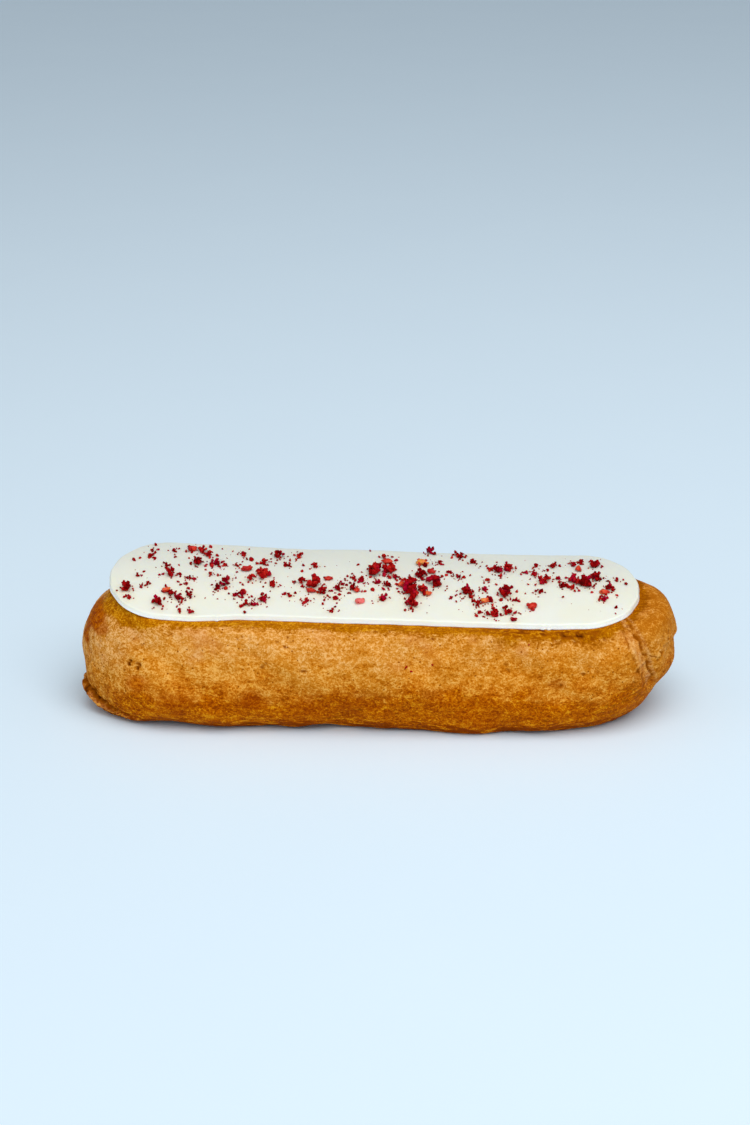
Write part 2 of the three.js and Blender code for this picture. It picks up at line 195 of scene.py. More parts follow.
def bump(tree, shader, height, distance_mm, strength):
    """Fine relief from a height, in millimetres, on the shader."""
    inputs = {"Height": height, "Distance": distance_mm * MM, "Strength": strength}
    node = add_node(tree, "ShaderNodeBump", inputs)
    tree.links.new(node.outputs["Normal"], shader.inputs["Normal"])


# %% [markdown]
# The floor and the light. The eclair stands on a plain pale floor under soft studio light.
# One broad lamp hangs high in front of it, as a window would, and a pale sky that is brighter
# in front keeps the shadows open. The view transform is the plain one, so that colours come
# out as they are mixed.

# %% Floor, lamp and sky
FLOOR_REACH = 4.0
FLOOR_DROP = -0.00003


def make_floor():
    """A large flat plane just under the base, with a soft pale finish."""
    corner = FLOOR_REACH / 2
    mesh = bpy.data.meshes.new("floor")
    corners = [(-corner, -corner), (corner, -corner), (corner, corner), (-corner, corner)]
    mesh.from_pydata([(x, y, FLOOR_DROP) for x, y in corners], [], [(0, 1, 2, 3)])
    floor = bpy.data.objects.new("floor", mesh)
    bpy.context.scene.collection.objects.link(floor)
    material, tree, shader = new_material("floor_finish")
    cloudy = noise(tree, millimetres(tree), 60, detail=3)
    colour = blend(tree, cloudy, (0.735, 0.875, 0.99), (0.75, 0.89, 1.0))
    tree.links.new(colour, shader.inputs["Base Color"])
    set_inputs(shader, {"Roughness": 0.85, "Specular IOR Level": 0.2})
    mesh.materials.append(material)


def add_lamp(name, place, size, power, colour):
    """A square soft lamp that faces the eclair."""
    data = bpy.data.lights.new(name, "AREA")
    data.shape = "SQUARE"
    data.size = size
    data.energy = power
    data.color = colour
    lamp = bpy.data.objects.new(name, data)
    lamp.location = place
    lamp.rotation_euler = (TARGET - Vector(place)).to_track_quat("-Z", "Y").to_euler()
    bpy.context.scene.collection.objects.link(lamp)


def make_sky(front, back):
    """A pale sky, brighter on the side that the front of the eclair faces."""
    sky = bpy.data.worlds.new("sky")
    sky.use_nodes = True
    tree = sky.node_tree
    background = tree.nodes["Background"]
    background.inputs["Color"].default_value = (0.90, 0.955, 1.0, 1)
    way = add_node(tree, "ShaderNodeTexCoord").outputs["Generated"]
    towards_back = add_node(tree, "ShaderNodeSeparateXYZ", {0: way}).outputs["Y"]
    tree.links.new(ramp(tree, towards_back, -0.7, 0.7, front, back), background.inputs["Strength"])
    bpy.context.scene.world = sky


make_floor()
add_lamp("window", place=(0.20, -0.42, 0.88), size=0.90, power=7.2, colour=(1.0, 0.99, 0.97))
make_sky(front=0.74, back=0.22)
bpy.context.scene.view_settings.view_transform = "Standard"
bpy.context.scene.view_settings.look = "None"

# %% [markdown]
# The sizes of the bun and the icing, in millimetres, are those that the solids were made
# from. The bun's section is a rounded square that shrinks to a blunt nose at each end, each
# end in its own way. The icing lies on it slightly askew, leans to the front, sags in its
# length, and droops a little over the bun's shoulder at the front left.

# %% The named sizes
LENGTH = 139
HALF_LENGTH = LENGTH / 2
HALF_WIDTH = 21
WAIST_HEIGHT = 14.5
CROWN_HEIGHT = 33
DEPTH_UNDER_BASE = 3.2
SECTION_POWER = 2.35
BELLY = {"at": 4, "taper": 0.1}
BASE_EDGE_RADIUS = 0.8
CROWN_EDGE_RADIUS = 1.6
LEFT_END = {"side": 29, "upper": 27, "lower": 10.5, "power": 2.25, "nose": 10.8}
RIGHT_END = {"side": 23, "upper": 19, "lower": 27, "power": 2.1, "nose": 18.8}
NOSE_BLEND = 24

ICING_HALF_LENGTH = 61.9
ICING_HALF_WIDTH = 15.1
ICING_END = 13.2
ICING_THICKNESS = 1.15
ICING_HEIGHT = 30.9
ICING_LEAN = math.tan(math.radians(10))
ICING_FALL = 0.0095
ICING_SAG = 0.9
ICING_DOME = 0.8
ICING_CENTRE = (-1.0, 0.4)
ICING_YAW = math.radians(-1.5)
ICING_DROOP = {"at": -46, "half": 17, "down": 0.6, "out": 1.2, "from": -4, "to": -15}
CONTACT_GAP = 0.04


def smooth_step(low, high, value):
    """0 below the first edge, 1 above the second, and smooth between them."""
    t = np.clip((value - low) / (high - low), 0, 1)
    return t * t * (3 - 2 * t)


def rounded_floor(value, radius):
    """The larger of value and 0, with the corner between them rounded."""
    corner = (value + radius) ** 2 / (4 * radius)
    return np.where(value >= radius, value, np.where(value <= -radius, 0.0, corner))


def hump(value, half):
    """A smooth hump: 1 at its middle and 0 beyond its half width."""
    t = np.minimum(1, np.abs(value) / half)
    return (1 - t * t) ** 2


def icing_share(x, y):
    """Where a place lies on the icing: 0 on its middle line and 1 at its edge."""
    from_x, from_y = x - ICING_CENTRE[0], y - ICING_CENTRE[1]
    along = from_x * math.cos(ICING_YAW) + from_y * math.sin(ICING_YAW)
    across = from_y * math.cos(ICING_YAW) - from_x * math.sin(ICING_YAW)
    beyond = np.maximum(0, np.abs(along) - (ICING_HALF_LENGTH - ICING_END)) / ICING_END
    return np.hypot(beyond, across / ICING_HALF_WIDTH)


def icing_top(x, y):
    """The height of the icing's upper face."""
    along = (x - ICING_CENTRE[0]) / ICING_HALF_LENGTH
    sag = ICING_SAG * (1 - along * along)
    ripple = 0.12 * np.sin(x * 0.11 + 1.3) + 0.08 * np.sin(x * 0.19 + y * 0.12)
    leaning = ICING_LEAN * (y - ICING_CENTRE[1]) - ICING_FALL * x
    dome = ICING_DOME * np.maximum(0, 1 - icing_share(x, y) ** 2)
    droop = ICING_DROOP["down"] * hump(x - ICING_DROOP["at"], ICING_DROOP["half"])
    droop = droop * smooth_step(ICING_DROOP["from"], ICING_DROOP["to"], y)
    return ICING_HEIGHT + leaning - sag + dome + ripple - droop


print("icing height over the middle:", float(icing_top(0.0, 0.0)))

# %% [markdown]
# Chance has to fall the same way in every run, so all of it comes from two small makers of
# numbers: a seeded draw for things that are placed one by one, and a seeded noise in space
# for relief that has to be evaluated at a hundred thousand points at once.

# %% Seeded draw and noise in space
def make_random(seed):
    """A seeded draw between 0 and 1, the same in every run."""
    state = seed

    def draw():
        """The next number, between 0 and 1."""
        nonlocal state
        state = (state * 1664525 + 1013904223) % 4294967296
        return state / 4294967296

    return draw


def lattice_slopes(cell, seed):
    """A fixed slope for each corner of a lattice, each part between -1 and 1."""
    mask = np.uint64(0xFFFFFFFF)
    whole = cell.astype(np.int64).astype(np.uint64)
    mixed = whole[..., 0] * np.uint64(374761393) + whole[..., 1] * np.uint64(668265263)
    mixed = (mixed + whole[..., 2] * np.uint64(2246822519) + np.uint64(seed * 3266489917)) & mask
    slopes = []
    for multiplier in (1274126177, 2654435761, 1103515245):
        mixed = ((mixed ^ (mixed >> np.uint64(13))) * np.uint64(multiplier)) & mask
        mixed = mixed ^ (mixed >> np.uint64(16))
        slopes.append(mixed.astype(np.float64) / 2147483648.0 - 1.0)
    return slopes


def space_noise(points, size, seed):
    """Smooth noise, mostly between -1 and 1, with blotches of a size given for each axis."""
    scaled = points / np.asarray(size)
    cell = np.floor(scaled)
    part = scaled - cell
    fade = part * part * part * (part * (part * 6 - 15) + 10)
    total = 0.0
    for corner in np.ndindex(2, 2, 2):
        offset = np.array(corner)
        slopes = lattice_slopes(cell + offset, seed)
        away = part - offset
        weight = np.prod(np.where(offset == 1, fade, 1 - fade), axis=-1)
        total = total + weight * sum(slopes[k] * away[..., k] for k in range(3))
    return total * 1.7


print("a noise sample:", float(space_noise(np.array([[1.2, 3.4, 5.6]]), 2.0, 1)[0]))

# %% [markdown]
# The bun's form. Piped choux swells unevenly in the oven, so the smooth form carries long
# and short swells. The right end shows a crease with a dome beyond it, where the piping was
# cut off, and a full shoulder over a small step under its nose. The base stands up as a torn
# lip at the left end, arches off the surface along the front, and spreads a little at its
# foot. Each is a small function of place, which keeps this form and the measured solid alike.

# %% Swells and marks of the crust
CREASE = {"top": 57.4, "drift": 0.62, "bend": 0.0155, "depth": 1.3, "half": 2.5, "from": 12, "to": 27}
TAIL_BULGE = {"out": 0.7, "beyond": 5, "half": 5}
SHOULDER = {"at": 63, "half": 7, "out": 0.4, "from": 18, "to": 25}
NOSE_STEP = {"at": 64, "height": 20.6, "tall": 7, "depth": 1.0}
LIP = {
    "out": 1.6, "foot": 0.65, "height": 6.9, "level": 4, "fall": 0.6, "least": 1.8,
    "from": -50, "to": -66, "fade": 0.45,
}
GROOVE = {"depth": 1.4, "above": 0.7, "half": 1.0}
FOOT = {"at": 20, "half": 26, "out": 1.5, "height": 8}
ARCHES = [(-50, 15, 1.0), (-13, 8, 1.4), (4.5, 4, 0.6), (36, 9, 0.6)]
BREAK = {"at": 46.5, "half": 9, "height": 25.2, "reach": 2.2, "depth": 1.1}


def make_swells(count, longest, shortest, height, seed):
    """A sum of waves in seeded directions."""
    draw = make_random(seed)
    waves = []
    for i in range(count):
        wavelength = longest * (shortest / longest) ** (i / (count - 1))
        turn = draw() * 2 * math.pi
        rise = draw() * 2 - 1
        flat = math.sqrt(1 - rise * rise)
        pitch = 2 * math.pi / wavelength
        way = (pitch * flat * math.cos(turn), pitch * flat * math.sin(turn), pitch * rise)
        waves.append((way, draw() * 2 * math.pi, height * wavelength / longest))
    return waves


SWELLS = make_swells(12, 34, 6, 0.34, 7)


def lip_edge(x, y):
    """The height of the torn lip's upper edge, which is ragged."""
    place = np.stack(np.broadcast_arrays(x, y, 0.0), axis=-1)
    ragged = 0.5 * space_noise(place, 3.4, 51) + 0.35 * space_noise(place, 1.1, 52)
    falling = LIP["height"] - LIP["fall"] * np.maximum(0, np.abs(y) - LIP["level"])
    return np.maximum(LIP["least"], falling + 1.4 * ragged) + 0.4 * ragged


def crease_at(z):
    """Where the crease runs at each height: it bends outwards on its way down."""
    down = CREASE["to"] - z
    return CREASE["top"] + CREASE["drift"] * down - CREASE["bend"] * down * down


def crust_relief(x, y, z):
    """How far the crust stands out from its smooth form."""
    out = sum(h * np.sin(w[0] * x + w[1] * y + w[2] * z + phase) for w, phase, h in SWELLS)
    front = smooth_step(2, -6, y)
    crease_x = crease_at(z)
    crease_span = smooth_step(CREASE["from"] - 4, CREASE["from"], z) * front
    out = out - CREASE["depth"] * crease_span * hump(x - crease_x, CREASE["half"])
    tail = hump(x - crease_x - TAIL_BULGE["beyond"], TAIL_BULGE["half"])
    out = out + TAIL_BULGE["out"] * crease_span * tail
    shoulder = hump(x - SHOULDER["at"], SHOULDER["half"]) * smooth_step(SHOULDER["from"], SHOULDER["to"], z)
    out = out + SHOULDER["out"] * shoulder
    step = smooth_step(NOSE_STEP["at"], NOSE_STEP["at"] + 3, x) * smooth_step(7, 0, y)
    below = NOSE_STEP["height"] - z
    step = step * smooth_step(-0.4, 0.4, below) * smooth_step(NOSE_STEP["tall"], 3, below)
    out = out - NOSE_STEP["depth"] * step
    edge = lip_edge(x, y)
    lip = smooth_step(LIP["foot"] * edge, edge - 0.5, z) * smooth_step(edge + 1, edge, z)
    groove = hump(z - edge - GROOVE["above"], GROOVE["half"])
    flare = LIP["out"] * (1 - LIP["fade"] * smooth_step(6, 14, np.abs(y)))
    out = out + smooth_step(LIP["from"], LIP["to"], x) * (flare * lip - GROOVE["depth"] * groove)
    foot = hump(x - FOOT["at"], FOOT["half"]) * smooth_step(FOOT["height"], 0, z)
    out = out + FOOT["out"] * foot * front
    broken = hump(x - BREAK["at"], BREAK["half"]) * hump(z - BREAK["height"], BREAK["reach"]) * front
    crumble = 0.6 + 0.4 * np.sin(x * 1.9) + 0.3 * np.sin(x * 3.1 + 1)
    return out - BREAK["depth"] * broken * crumble


def base_lift(x, y):
    """Where the underside is lifted off the surface at the front edge."""
    edge = smooth_step(-4, -13, y)
    return sum(lift * edge * hump(x - at, half) for at, half, lift in ARCHES)


# %% [markdown]
# The section at each place along the bun, and the points round it. The same rule that gave
# the solid its few thousand corners gives this crust its ninety thousand.

# %% The crust's points
def cap_factor(distance, length, power):
    """How much of a full section is left at a distance from the tip."""
    inside = (1 - (1 - np.clip(distance, 0, length) / length) ** power) ** (1 / power)
    return np.where(distance >= length, 1.0, inside)


def end_lean(distance, end):
    """How far the crust faces along the bun at a distance from a tip."""
    return np.maximum(0, 1 - distance / end["side"]) ** (end["power"] - 1)


def section_at(x):
    """The smooth sizes of the section at a place along the bun."""
    left_gap = np.maximum(0, x + HALF_LENGTH)
    right_gap = np.maximum(0, HALF_LENGTH - x)
    waist = (
        WAIST_HEIGHT
        + (LEFT_END["nose"] - WAIST_HEIGHT) * (1 - smooth_step(0, NOSE_BLEND, left_gap))
        + (RIGHT_END["nose"] - WAIST_HEIGHT) * (1 - smooth_step(0, NOSE_BLEND, right_gap))
    )

    def close(part):
        """How far both ends have drawn one size of the section in."""
        left = cap_factor(left_gap, LEFT_END[part], LEFT_END["power"])
        return left * cap_factor(right_gap, RIGHT_END[part], RIGHT_END["power"])

    taper = 1 - BELLY["taper"] * ((x - BELLY["at"]) / HALF_LENGTH) ** 2
    return {
        "waist": waist,
        "lean": end_lean(left_gap, LEFT_END) - end_lean(right_gap, RIGHT_END),
        "side": HALF_WIDTH * taper * close("side"),
        "upper": (CROWN_HEIGHT - waist) * close("upper"),
        "lower": (waist + DEPTH_UNDER_BASE) * close("lower"),
    }


def crust_points(x, turn):
    """Points of the crust before its fine relief: x along it and a turn round the section."""
    section = section_at(x)
    across = -np.cos(turn)
    up_share = np.sin(turn)
    tall = np.where(up_share >= 0, section["upper"], section["lower"])
    reach = (
        (np.abs(across) / section["side"]) ** SECTION_POWER
        + (np.abs(up_share) / tall) ** SECTION_POWER
    ) ** (-1 / SECTION_POWER)
    smooth_y = reach * across
    smooth_z = section["waist"] + reach * up_share
    relief = crust_relief(x, smooth_y, smooth_z)
    outward = relief * np.sqrt(1 - section["lean"] ** 2)
    return np.stack(
        [x - relief * section["lean"], smooth_y + outward * across, smooth_z + outward * up_share], axis=-1
    )


def crust_stations(cap_rings, body_rings):
    """The places along the bun where a section is taken, even along the crust."""
    angles = np.arange(1, cap_rings + 1) / cap_rings * (math.pi / 2)
    left = -HALF_LENGTH + LEFT_END["side"] * (1 - np.abs(np.cos(angles)) ** (2 / LEFT_END["power"]))
    right = HALF_LENGTH - RIGHT_END["side"] * (1 - np.abs(np.cos(angles)) ** (2 / RIGHT_END["power"]))
    straight = LENGTH - LEFT_END["side"] - RIGHT_END["side"]
    middle = -HALF_LENGTH + LEFT_END["side"] + straight * np.arange(1, body_rings) / body_rings
    return np.concatenate([left, middle, right[::-1]])


CRUST_CAP_RINGS = 76
CRUST_BODY_RINGS = 236
CRUST_AROUND = 240
stations = crust_stations(CRUST_CAP_RINGS, CRUST_BODY_RINGS)
turns = np.arange(CRUST_AROUND) / CRUST_AROUND * 2 * math.pi
form = crust_points(stations[:, None], turns[None, :])
print("crust grid:", form.shape[:2])

# %% [markdown]
# Steam leaves the dough through pin-holes. The largest are dug into the mesh: some in groups
# on the front, some anywhere, two upright slits near the left end, and a crack with two
# holes above the torn lip. Each hole is a small smooth bowl round a point of the crust.

# %% Pin-holes, slits and the crack
SLITS = [(-56.2, 16.9, 1.0), (-54.0, 16.3, 1.1)]
SLIT_DEPTH = 0.75
CRACK = {"from": (-67.9, -6.6, 12.6), "to": (-65.6, -9.6, 12.9), "wave": 0.25, "depth": 0.5}
CUT_HALF_WIDTH = 0.42
HOLES = [(-66.0, -9.1, 6.6, 1.0, 1.1), (-65.0, -11.1, 5.2, 0.7, 1.0), (59.3, -15.2, 24.6, 0.55, 0.6)]
PIT_GROUPS = [(-30.3, 23.9, 3.0, 4), (-20.0, 23.6, 3.5, 4), (-52.0, 21.5, 2.5, 2), (-24.0, 18.3, 5.0, 3)]
PIT_GROUPS += [(31.0, 18.0, 4.0, 3), (50.0, 17.5, 4.0, 4), (57.0, 8.0, 5.0, 6), (61.0, 16.0, 3.0, 5)]
LOOSE_PITS = 60


def pit_depths(points):
    """How deep the pin-holes and slits are at each point."""
    draw = make_random(91)
    depth = np.zeros(points.shape[:2])
    x, y, z = points[..., 0], points[..., 1], points[..., 2]

    def dig(centre, radius, deep, long=1.0):
        """Digs one hole round a point, longer along the bun than across."""
        near = np.sqrt(((x - centre[0]) / long) ** 2 + (y - centre[1]) ** 2 + (z - centre[2]) ** 2)
        np.maximum(depth, deep * hump(near, radius), out=depth)

    def front_y(at_x, at_z):
        """How far forward the crust's front lies at a place and height."""
        column = int(np.argmin(np.abs(stations - at_x)))
        half = CRUST_AROUND // 2
        facing = points[column, :, 1] < 0
        rows = np.where(facing & (np.arange(CRUST_AROUND) != half))[0]
        return points[column, rows[np.argmin(np.abs(points[column, rows, 2] - at_z))], 1]

    for at_x, at_z, spread, count in PIT_GROUPS:
        for _ in range(count):
            px = at_x + (draw() + draw() - 1) * spread
            pz = at_z + (draw() + draw() - 1) * spread * 0.3
            dig((px, front_y(px, pz), pz), 0.34 + 0.28 * draw(), 0.2 + 0.2 * draw(), 1 + draw())
    for hx, hy, hz, radius, deep in HOLES:
        dig((hx, hy, hz), radius, deep)
    for share in np.linspace(0, 1, 9):
        spot = [a + (b - a) * share for a, b in zip(CRACK["from"], CRACK["to"])]
        spot[2] += CRACK["wave"] * math.sin(share * 9)
        dig(spot, CUT_HALF_WIDTH, CRACK["depth"])
    for at_x, at_z, tall in SLITS:
        for step in range(5):
            pz = at_z + tall * (step / 4 - 0.5)
            px = at_x + 0.4 * (step / 4 - 0.5)
            dig((px, front_y(px, pz), pz), CUT_HALF_WIDTH, SLIT_DEPTH)
    for _ in range(LOOSE_PITS):
        column = int(draw() * len(stations))
        row = int(draw() * CRUST_AROUND)
        dig(points[column, row], 0.3 + 0.4 * draw(), 0.15 + 0.25 * draw(), 1 + 1.5 * draw())
    return depth


pits = pit_depths(form)
print("deepest pin-hole:", round(float(pits.max()), 2), "mm")

# %% [markdown]
# The fine relief of the crust. A baked choux skin is dry and drawn into flakes and
# lengthwise wrinkles, with a net of cracks at both ends, creased folds beside the dome, and
# torn dough under the icing's front edge. Each is a seeded noise, kept to its own zone. Their
# sum is pushed along the surface's own direction. What is pushed in deeply is also kept as a
# number, for painted shade in those hollows, and so is what stands up, for a painted
# highlight on the ridges and the lip's edge.

# %% Fine relief of the crust
def outward_directions(points):
    """The direction that each point of the closed grid faces, kept plain where it is unsure."""
    along = np.gradient(points, axis=0)
    around = np.roll(points, -1, axis=1) - np.roll(points, 1, axis=1)
    normal = np.cross(around, along)
    normal = normal / np.maximum(np.linalg.norm(normal, axis=-1, keepdims=True), 1e-9)
    lean = section_at(stations)["lean"][:, None] + 0 * turns[None, :]
    flat = np.sqrt(1 - lean**2)
    plain = np.stack([-lean, -flat * np.cos(turns), flat * np.sin(turns)], axis=-1)
    agree = np.sum(normal * plain, axis=-1, keepdims=True)
    return np.where(agree < 0.5, plain, normal)


def thin_line(value, width):
    """1 where a noise crosses nought, falling to 0 over a width."""
    return 1 - smooth_step(0, width, np.abs(value))


x, y, z = form[..., 0], form[..., 1], form[..., 2]
facing = outward_directions(form)
front = smooth_step(4, -4, y)
flakes = 1 - 2 * np.abs(space_noise(form, (3.6, 1.9, 1.9), 3))
small_flakes = 1 - 2 * np.abs(space_noise(form, (1.9, 1.0, 1.0), 4))
wrinkles = space_noise(form, (13.0, 1.3, 1.3), 5) * (0.4 + 0.6 * smooth_step(10, -50, x))
lumps = space_noise(form, (7.0, 5.0, 5.0), 6)

along_crease = x - crease_at(z) + 0.7 * space_noise(form, 3.0, 33)
crease_zone = smooth_step(10, 14, z) * front
broken_up = smooth_step(-0.35, 0.10, space_noise(form, 1.5, 34))
folds = hump(along_crease - 0.15, 0.55) * crease_zone * (0.4 + 0.6 * broken_up)
folds = np.maximum(folds, 0.6 * hump(along_crease + 1.9, 0.45) * crease_zone * broken_up)
ridges = hump(along_crease + 0.85, 0.95) * (0.25 + 0.75 * smooth_step(-0.1, 0.3, space_noise(form, 1.1, 35)))
ridges = np.maximum(ridges, 0.6 * hump(along_crease - 1.1, 0.45)) * crease_zone
net_zone = smooth_step(49, 58, x) * smooth_step(27, 18, z) * (0.3 + 0.7 * smooth_step(-0.2, 0.3, lumps))
left_zone = smooth_step(-56, -65, x) * smooth_step(27, 22, z)
warped = form + 0.8 * space_noise(form, 2.2, 15)[..., None]
net = thin_line(space_noise(warped, 2.3, 8), 0.12) * np.maximum(net_zone * front, 0.55 * left_zone)
torn_zone = hump(x - BREAK["at"], BREAK["half"] + 3) * hump(z - BREAK["height"], BREAK["reach"]) * front
torn = torn_zone * smooth_step(0.0, 0.45, space_noise(form, (1.5, 1.2, 0.9), 9))
lip_zone = smooth_step(LIP["from"] - 2, LIP["to"], x)
lip_gap = hump(z - lip_edge(x, y) - GROOVE["above"], GROOVE["half"]) * lip_zone
fine = (
    0.06 * flakes
    + 0.05 * small_flakes
    + 0.07 * wrinkles
    + 0.10 * lumps
    - 0.45 * folds
    + 0.28 * ridges
    - 0.26 * net
    - 0.70 * torn
    - 0.30 * lip_gap * smooth_step(-0.2, 0.4, space_noise(form, 1.6, 16))
    - pits
)
# Painted shade: folds, cracks, torn dough, the lip's groove and the pin-holes are darkened in colour by this
# number.
painted_hollow_shade = np.clip(0.55 * folds + 0.40 * net + 0.9 * torn + 0.85 * lip_gap**2 + 1.5 * pits, 0, 1)
# Painted highlight: the raised crease ridges and the lip's edge are lightened in colour by this number.
pale = np.clip(0.8 * ridges + 0.3 * hump(z - lip_edge(x, y) + 0.6, 1.3) * lip_zone, 0, 1)
crust = form + facing * fine[..., None]
print("fine relief from", round(float(fine.min()), 2), "to", round(float(fine.max()), 2), "mm")

# %% [markdown]
# Besides the few large pin-holes there are many fine ones, too small for the mesh. They come
# in clusters, so the mesh only keeps how thick they are at each place, and the material paints
# their shade as small dark dots.

# %% Where fine pin-holes cluster
PITTED = [(-66, 14, 7, 0.9), (-52, 21, 5, 0.7), (-30, 23.5, 7, 1.0), (-24, 18, 9, 0.7)]
PITTED += [(-19, 23.5, 6, 1.0), (4, 24, 7, 0.6), (31, 18, 8, 0.5), (46, 24, 9, 0.8)]
PITTED += [(49, 17.5, 8, 0.8), (57, 9, 8, 1.0), (62, 16, 5, 1.0)]
PITTED_ANYWHERE = 0.18
PITTED_FLATNESS = 2.2


def pitted_amount(points):
    """How thick the fine pin-holes are at each point."""
    px, pz = points[..., 0], points[..., 2]
    amount = np.full(points.shape[:2], PITTED_ANYWHERE)
    for at_x, at_z, radius, strength in PITTED:
        away = np.hypot(px - at_x, PITTED_FLATNESS * (pz - at_z))
        amount = np.maximum(amount, strength * hump(away, radius))
    return amount


pitted = pitted_amount(form)
print("pitted share:", round(float((pitted > 0.5).mean()), 3))

# %% [markdown]
# Last, the crust is pressed flat where it meets the table and the icing, as the real one is:
# the base was baked on a tray, and the icing lies on the crown.

# %% Press the base and the crown
def press(points):
    """The points kept above the base and under the icing."""
    px, py, pz = points[..., 0], points[..., 1], points[..., 2]
    base = base_lift(px, py)
    lifted = base + rounded_floor(pz - base, BASE_EDGE_RADIUS)
    ceiling = icing_top(px, py) - ICING_THICKNESS - CONTACT_GAP
    shelf = ceiling - rounded_floor(ceiling - lifted, CROWN_EDGE_RADIUS)
    return np.stack([px, py, shelf], axis=-1)


crust = press(crust)
print("crust from", crust.reshape(-1, 3).min(0).round(2), "to", crust.reshape(-1, 3).max(0).round(2))

# %% [markdown]
# Colour needs to know more than shape. A narrow band beside the icing's edge is painted with
# the shade that its overhanging edge casts, wider at the left end and narrower at the right, so
# each point's distance from that edge is kept on the mesh.

# %% The painted shade band under the icing
WIDER_LEFT = {"from": -44, "to": -60, "by": 1.2}
NARROWER_RIGHT = {"from": 52, "to": 60, "by": 0.9}


def from_icing_edge(points):
    """How far each point lies from the icing's lower edge, counted less where the band is wide."""
    px, py, pz = points[..., 0], points[..., 1], points[..., 2]
    outside = (icing_share(px, py) - 1) * ICING_HALF_WIDTH
    below = icing_top(px, py) - ICING_THICKNESS - pz
    wider = WIDER_LEFT["by"] * smooth_step(WIDER_LEFT["from"], WIDER_LEFT["to"], px)
    narrower = NARROWER_RIGHT["by"] * smooth_step(NARROWER_RIGHT["from"], NARROWER_RIGHT["to"], px)
    return np.hypot(np.maximum(0, outside), np.maximum(0, below)) - (wider - narrower)


beside_icing = from_icing_edge(crust)
print("painted_shade_band share:", round(float((beside_icing < 2).mean()), 3))

# %% [markdown]
# Right under that edge, along the right half of the front, the real crust is broken into small
# crannies. They are not in the mesh here: only their dark shade is painted, through the painted
# hollow shade.

# %% Painted shade of crannies under the icing's front edge
PAINTED_CRANNY_SHADE = {"at": 38, "half": 16, "reach": 3.2, "near": 1.4, "size": (2.2, 1.6, 1.0), "dark": 0.7}

under_edge = smooth_step(PAINTED_CRANNY_SHADE["reach"], PAINTED_CRANNY_SHADE["near"], beside_icing) * front
under_edge = under_edge * np.sqrt(hump(x - PAINTED_CRANNY_SHADE["at"], PAINTED_CRANNY_SHADE["half"]))
painted_cranny_shade = smooth_step(0.0, 0.22, space_noise(form, PAINTED_CRANNY_SHADE["size"], 41)) * under_edge
# Painted shade of the crannies joins the painted hollow shade.
painted_hollow_shade = np.maximum(painted_hollow_shade, PAINTED_CRANNY_SHADE["dark"] * painted_cranny_shade)
print("cranny share:", round(float((painted_cranny_shade > 0.4).mean()), 4))

# %% [markdown]
# The oven toasted some places brown. They are given as blurred spots: on the left
# shoulder, along the lower front and on the right end. The back isn't seen, so a few spots
# there only keep it alike.

# %% Toasted places
TOASTED = [
    (-65.1, -4.5, 23.6, 4.2, 1.5), (-63, -6.5, 25.8, 2.8, 1.2), (-67.4, -3, 21.2, 2.8, 1.3),
    (-68.2, -3.5, 18.6, 2.4, 1.0), (-54.4, -15.5, 12.5, 3.6, 0.95), (-45, -18, 8, 5, 0.8),
    (-28, -19, 9, 4, 0.95), (-14, -19.5, 6.5, 6, 0.6), (-4, -20, 8.5, 6, 0.55),
    (13, -20.5, 10.5, 3.6, 0.5), (24, -20, 6, 7, 0.5), (41.5, -19.5, 14.5, 2, 0.55),
    (59.5, -16, 14.5, 2.2, 0.45), (66.5, -9, 15.5, 2.4, 0.4),
    (-62, 12, 14, 4.5, 0.6), (-38, 19.5, 9, 5.5, 0.6), (4, 20.5, 7, 6, 0.6),
    (30, 20, 12, 3.5, 0.5), (60, 14, 9, 4, 0.5),
]


def toast_amount(points):
    """How brown the crust is at each point, before the finer mottling."""
    px, py, pz = points[..., 0], points[..., 1], points[..., 2]
    amount = np.zeros(points.shape[:2])
    wander = space_noise(points, (4.0, 4.0, 2.5), 12)
    for at_x, at_y, at_z, radius, strength in TOASTED:
        away = (px - at_x) ** 2 + (0.5 * (py - at_y)) ** 2 + (1.3 * (pz - at_z)) ** 2
        away = np.sqrt(away) + 1.6 * wander
        amount = np.maximum(amount, strength * smooth_step(radius * 1.25, radius * 0.35, away))
    return np.minimum(1, amount)


toast = toast_amount(crust)
print("toasted share:", round(float((toast > 0.4).mean()), 3))

# %% [markdown]
# The mesh itself: rings joined into quads, with one point closing each nose. Numbers that
# the material reads are stored as attributes on its points.

# %% Build the crust's mesh
def ring_quads(rings, count):
    """The quads of a tube whose rings follow one another, as rows of corner numbers."""
    low = np.arange(rings - 1)[:, None] * count + np.arange(count)
    low_next = np.arange(rings - 1)[:, None] * count + (np.arange(count) + 1) % count
    return np.stack([low + count, low_next + count, low_next, low], axis=-1).reshape(-1, 4)


def closed_loft(grid):
    """Corners and faces of a tube of rings closed by a fan at each end."""
    rings, count = grid.shape[:2]
    corners = np.concatenate([grid[0].mean(0)[None], grid.reshape(-1, 3), grid[-1].mean(0)[None]])
    last = len(corners) - 1
    beside = [(a, (a + 1) % count) for a in range(count)]
    start = [[0, 1 + a, 1 + b] for a, b in beside]
    finish = [[last, last - count + b, last - count + a] for a, b in beside]
    return corners, (1 + ring_quads(rings, count)).tolist() + start + finish


def mesh_piece(name, corners_mm, faces):
    """A linked, smooth object from corners in millimetres."""
    mesh = bpy.data.meshes.new(name)
    mesh.from_pydata((np.asarray(corners_mm) * MM).tolist(), [], faces)
    mesh.update()
    mesh.polygons.foreach_set("use_smooth", [True] * len(mesh.polygons))
    piece = bpy.data.objects.new(name, mesh)
    bpy.context.scene.collection.objects.link(piece)
    return piece


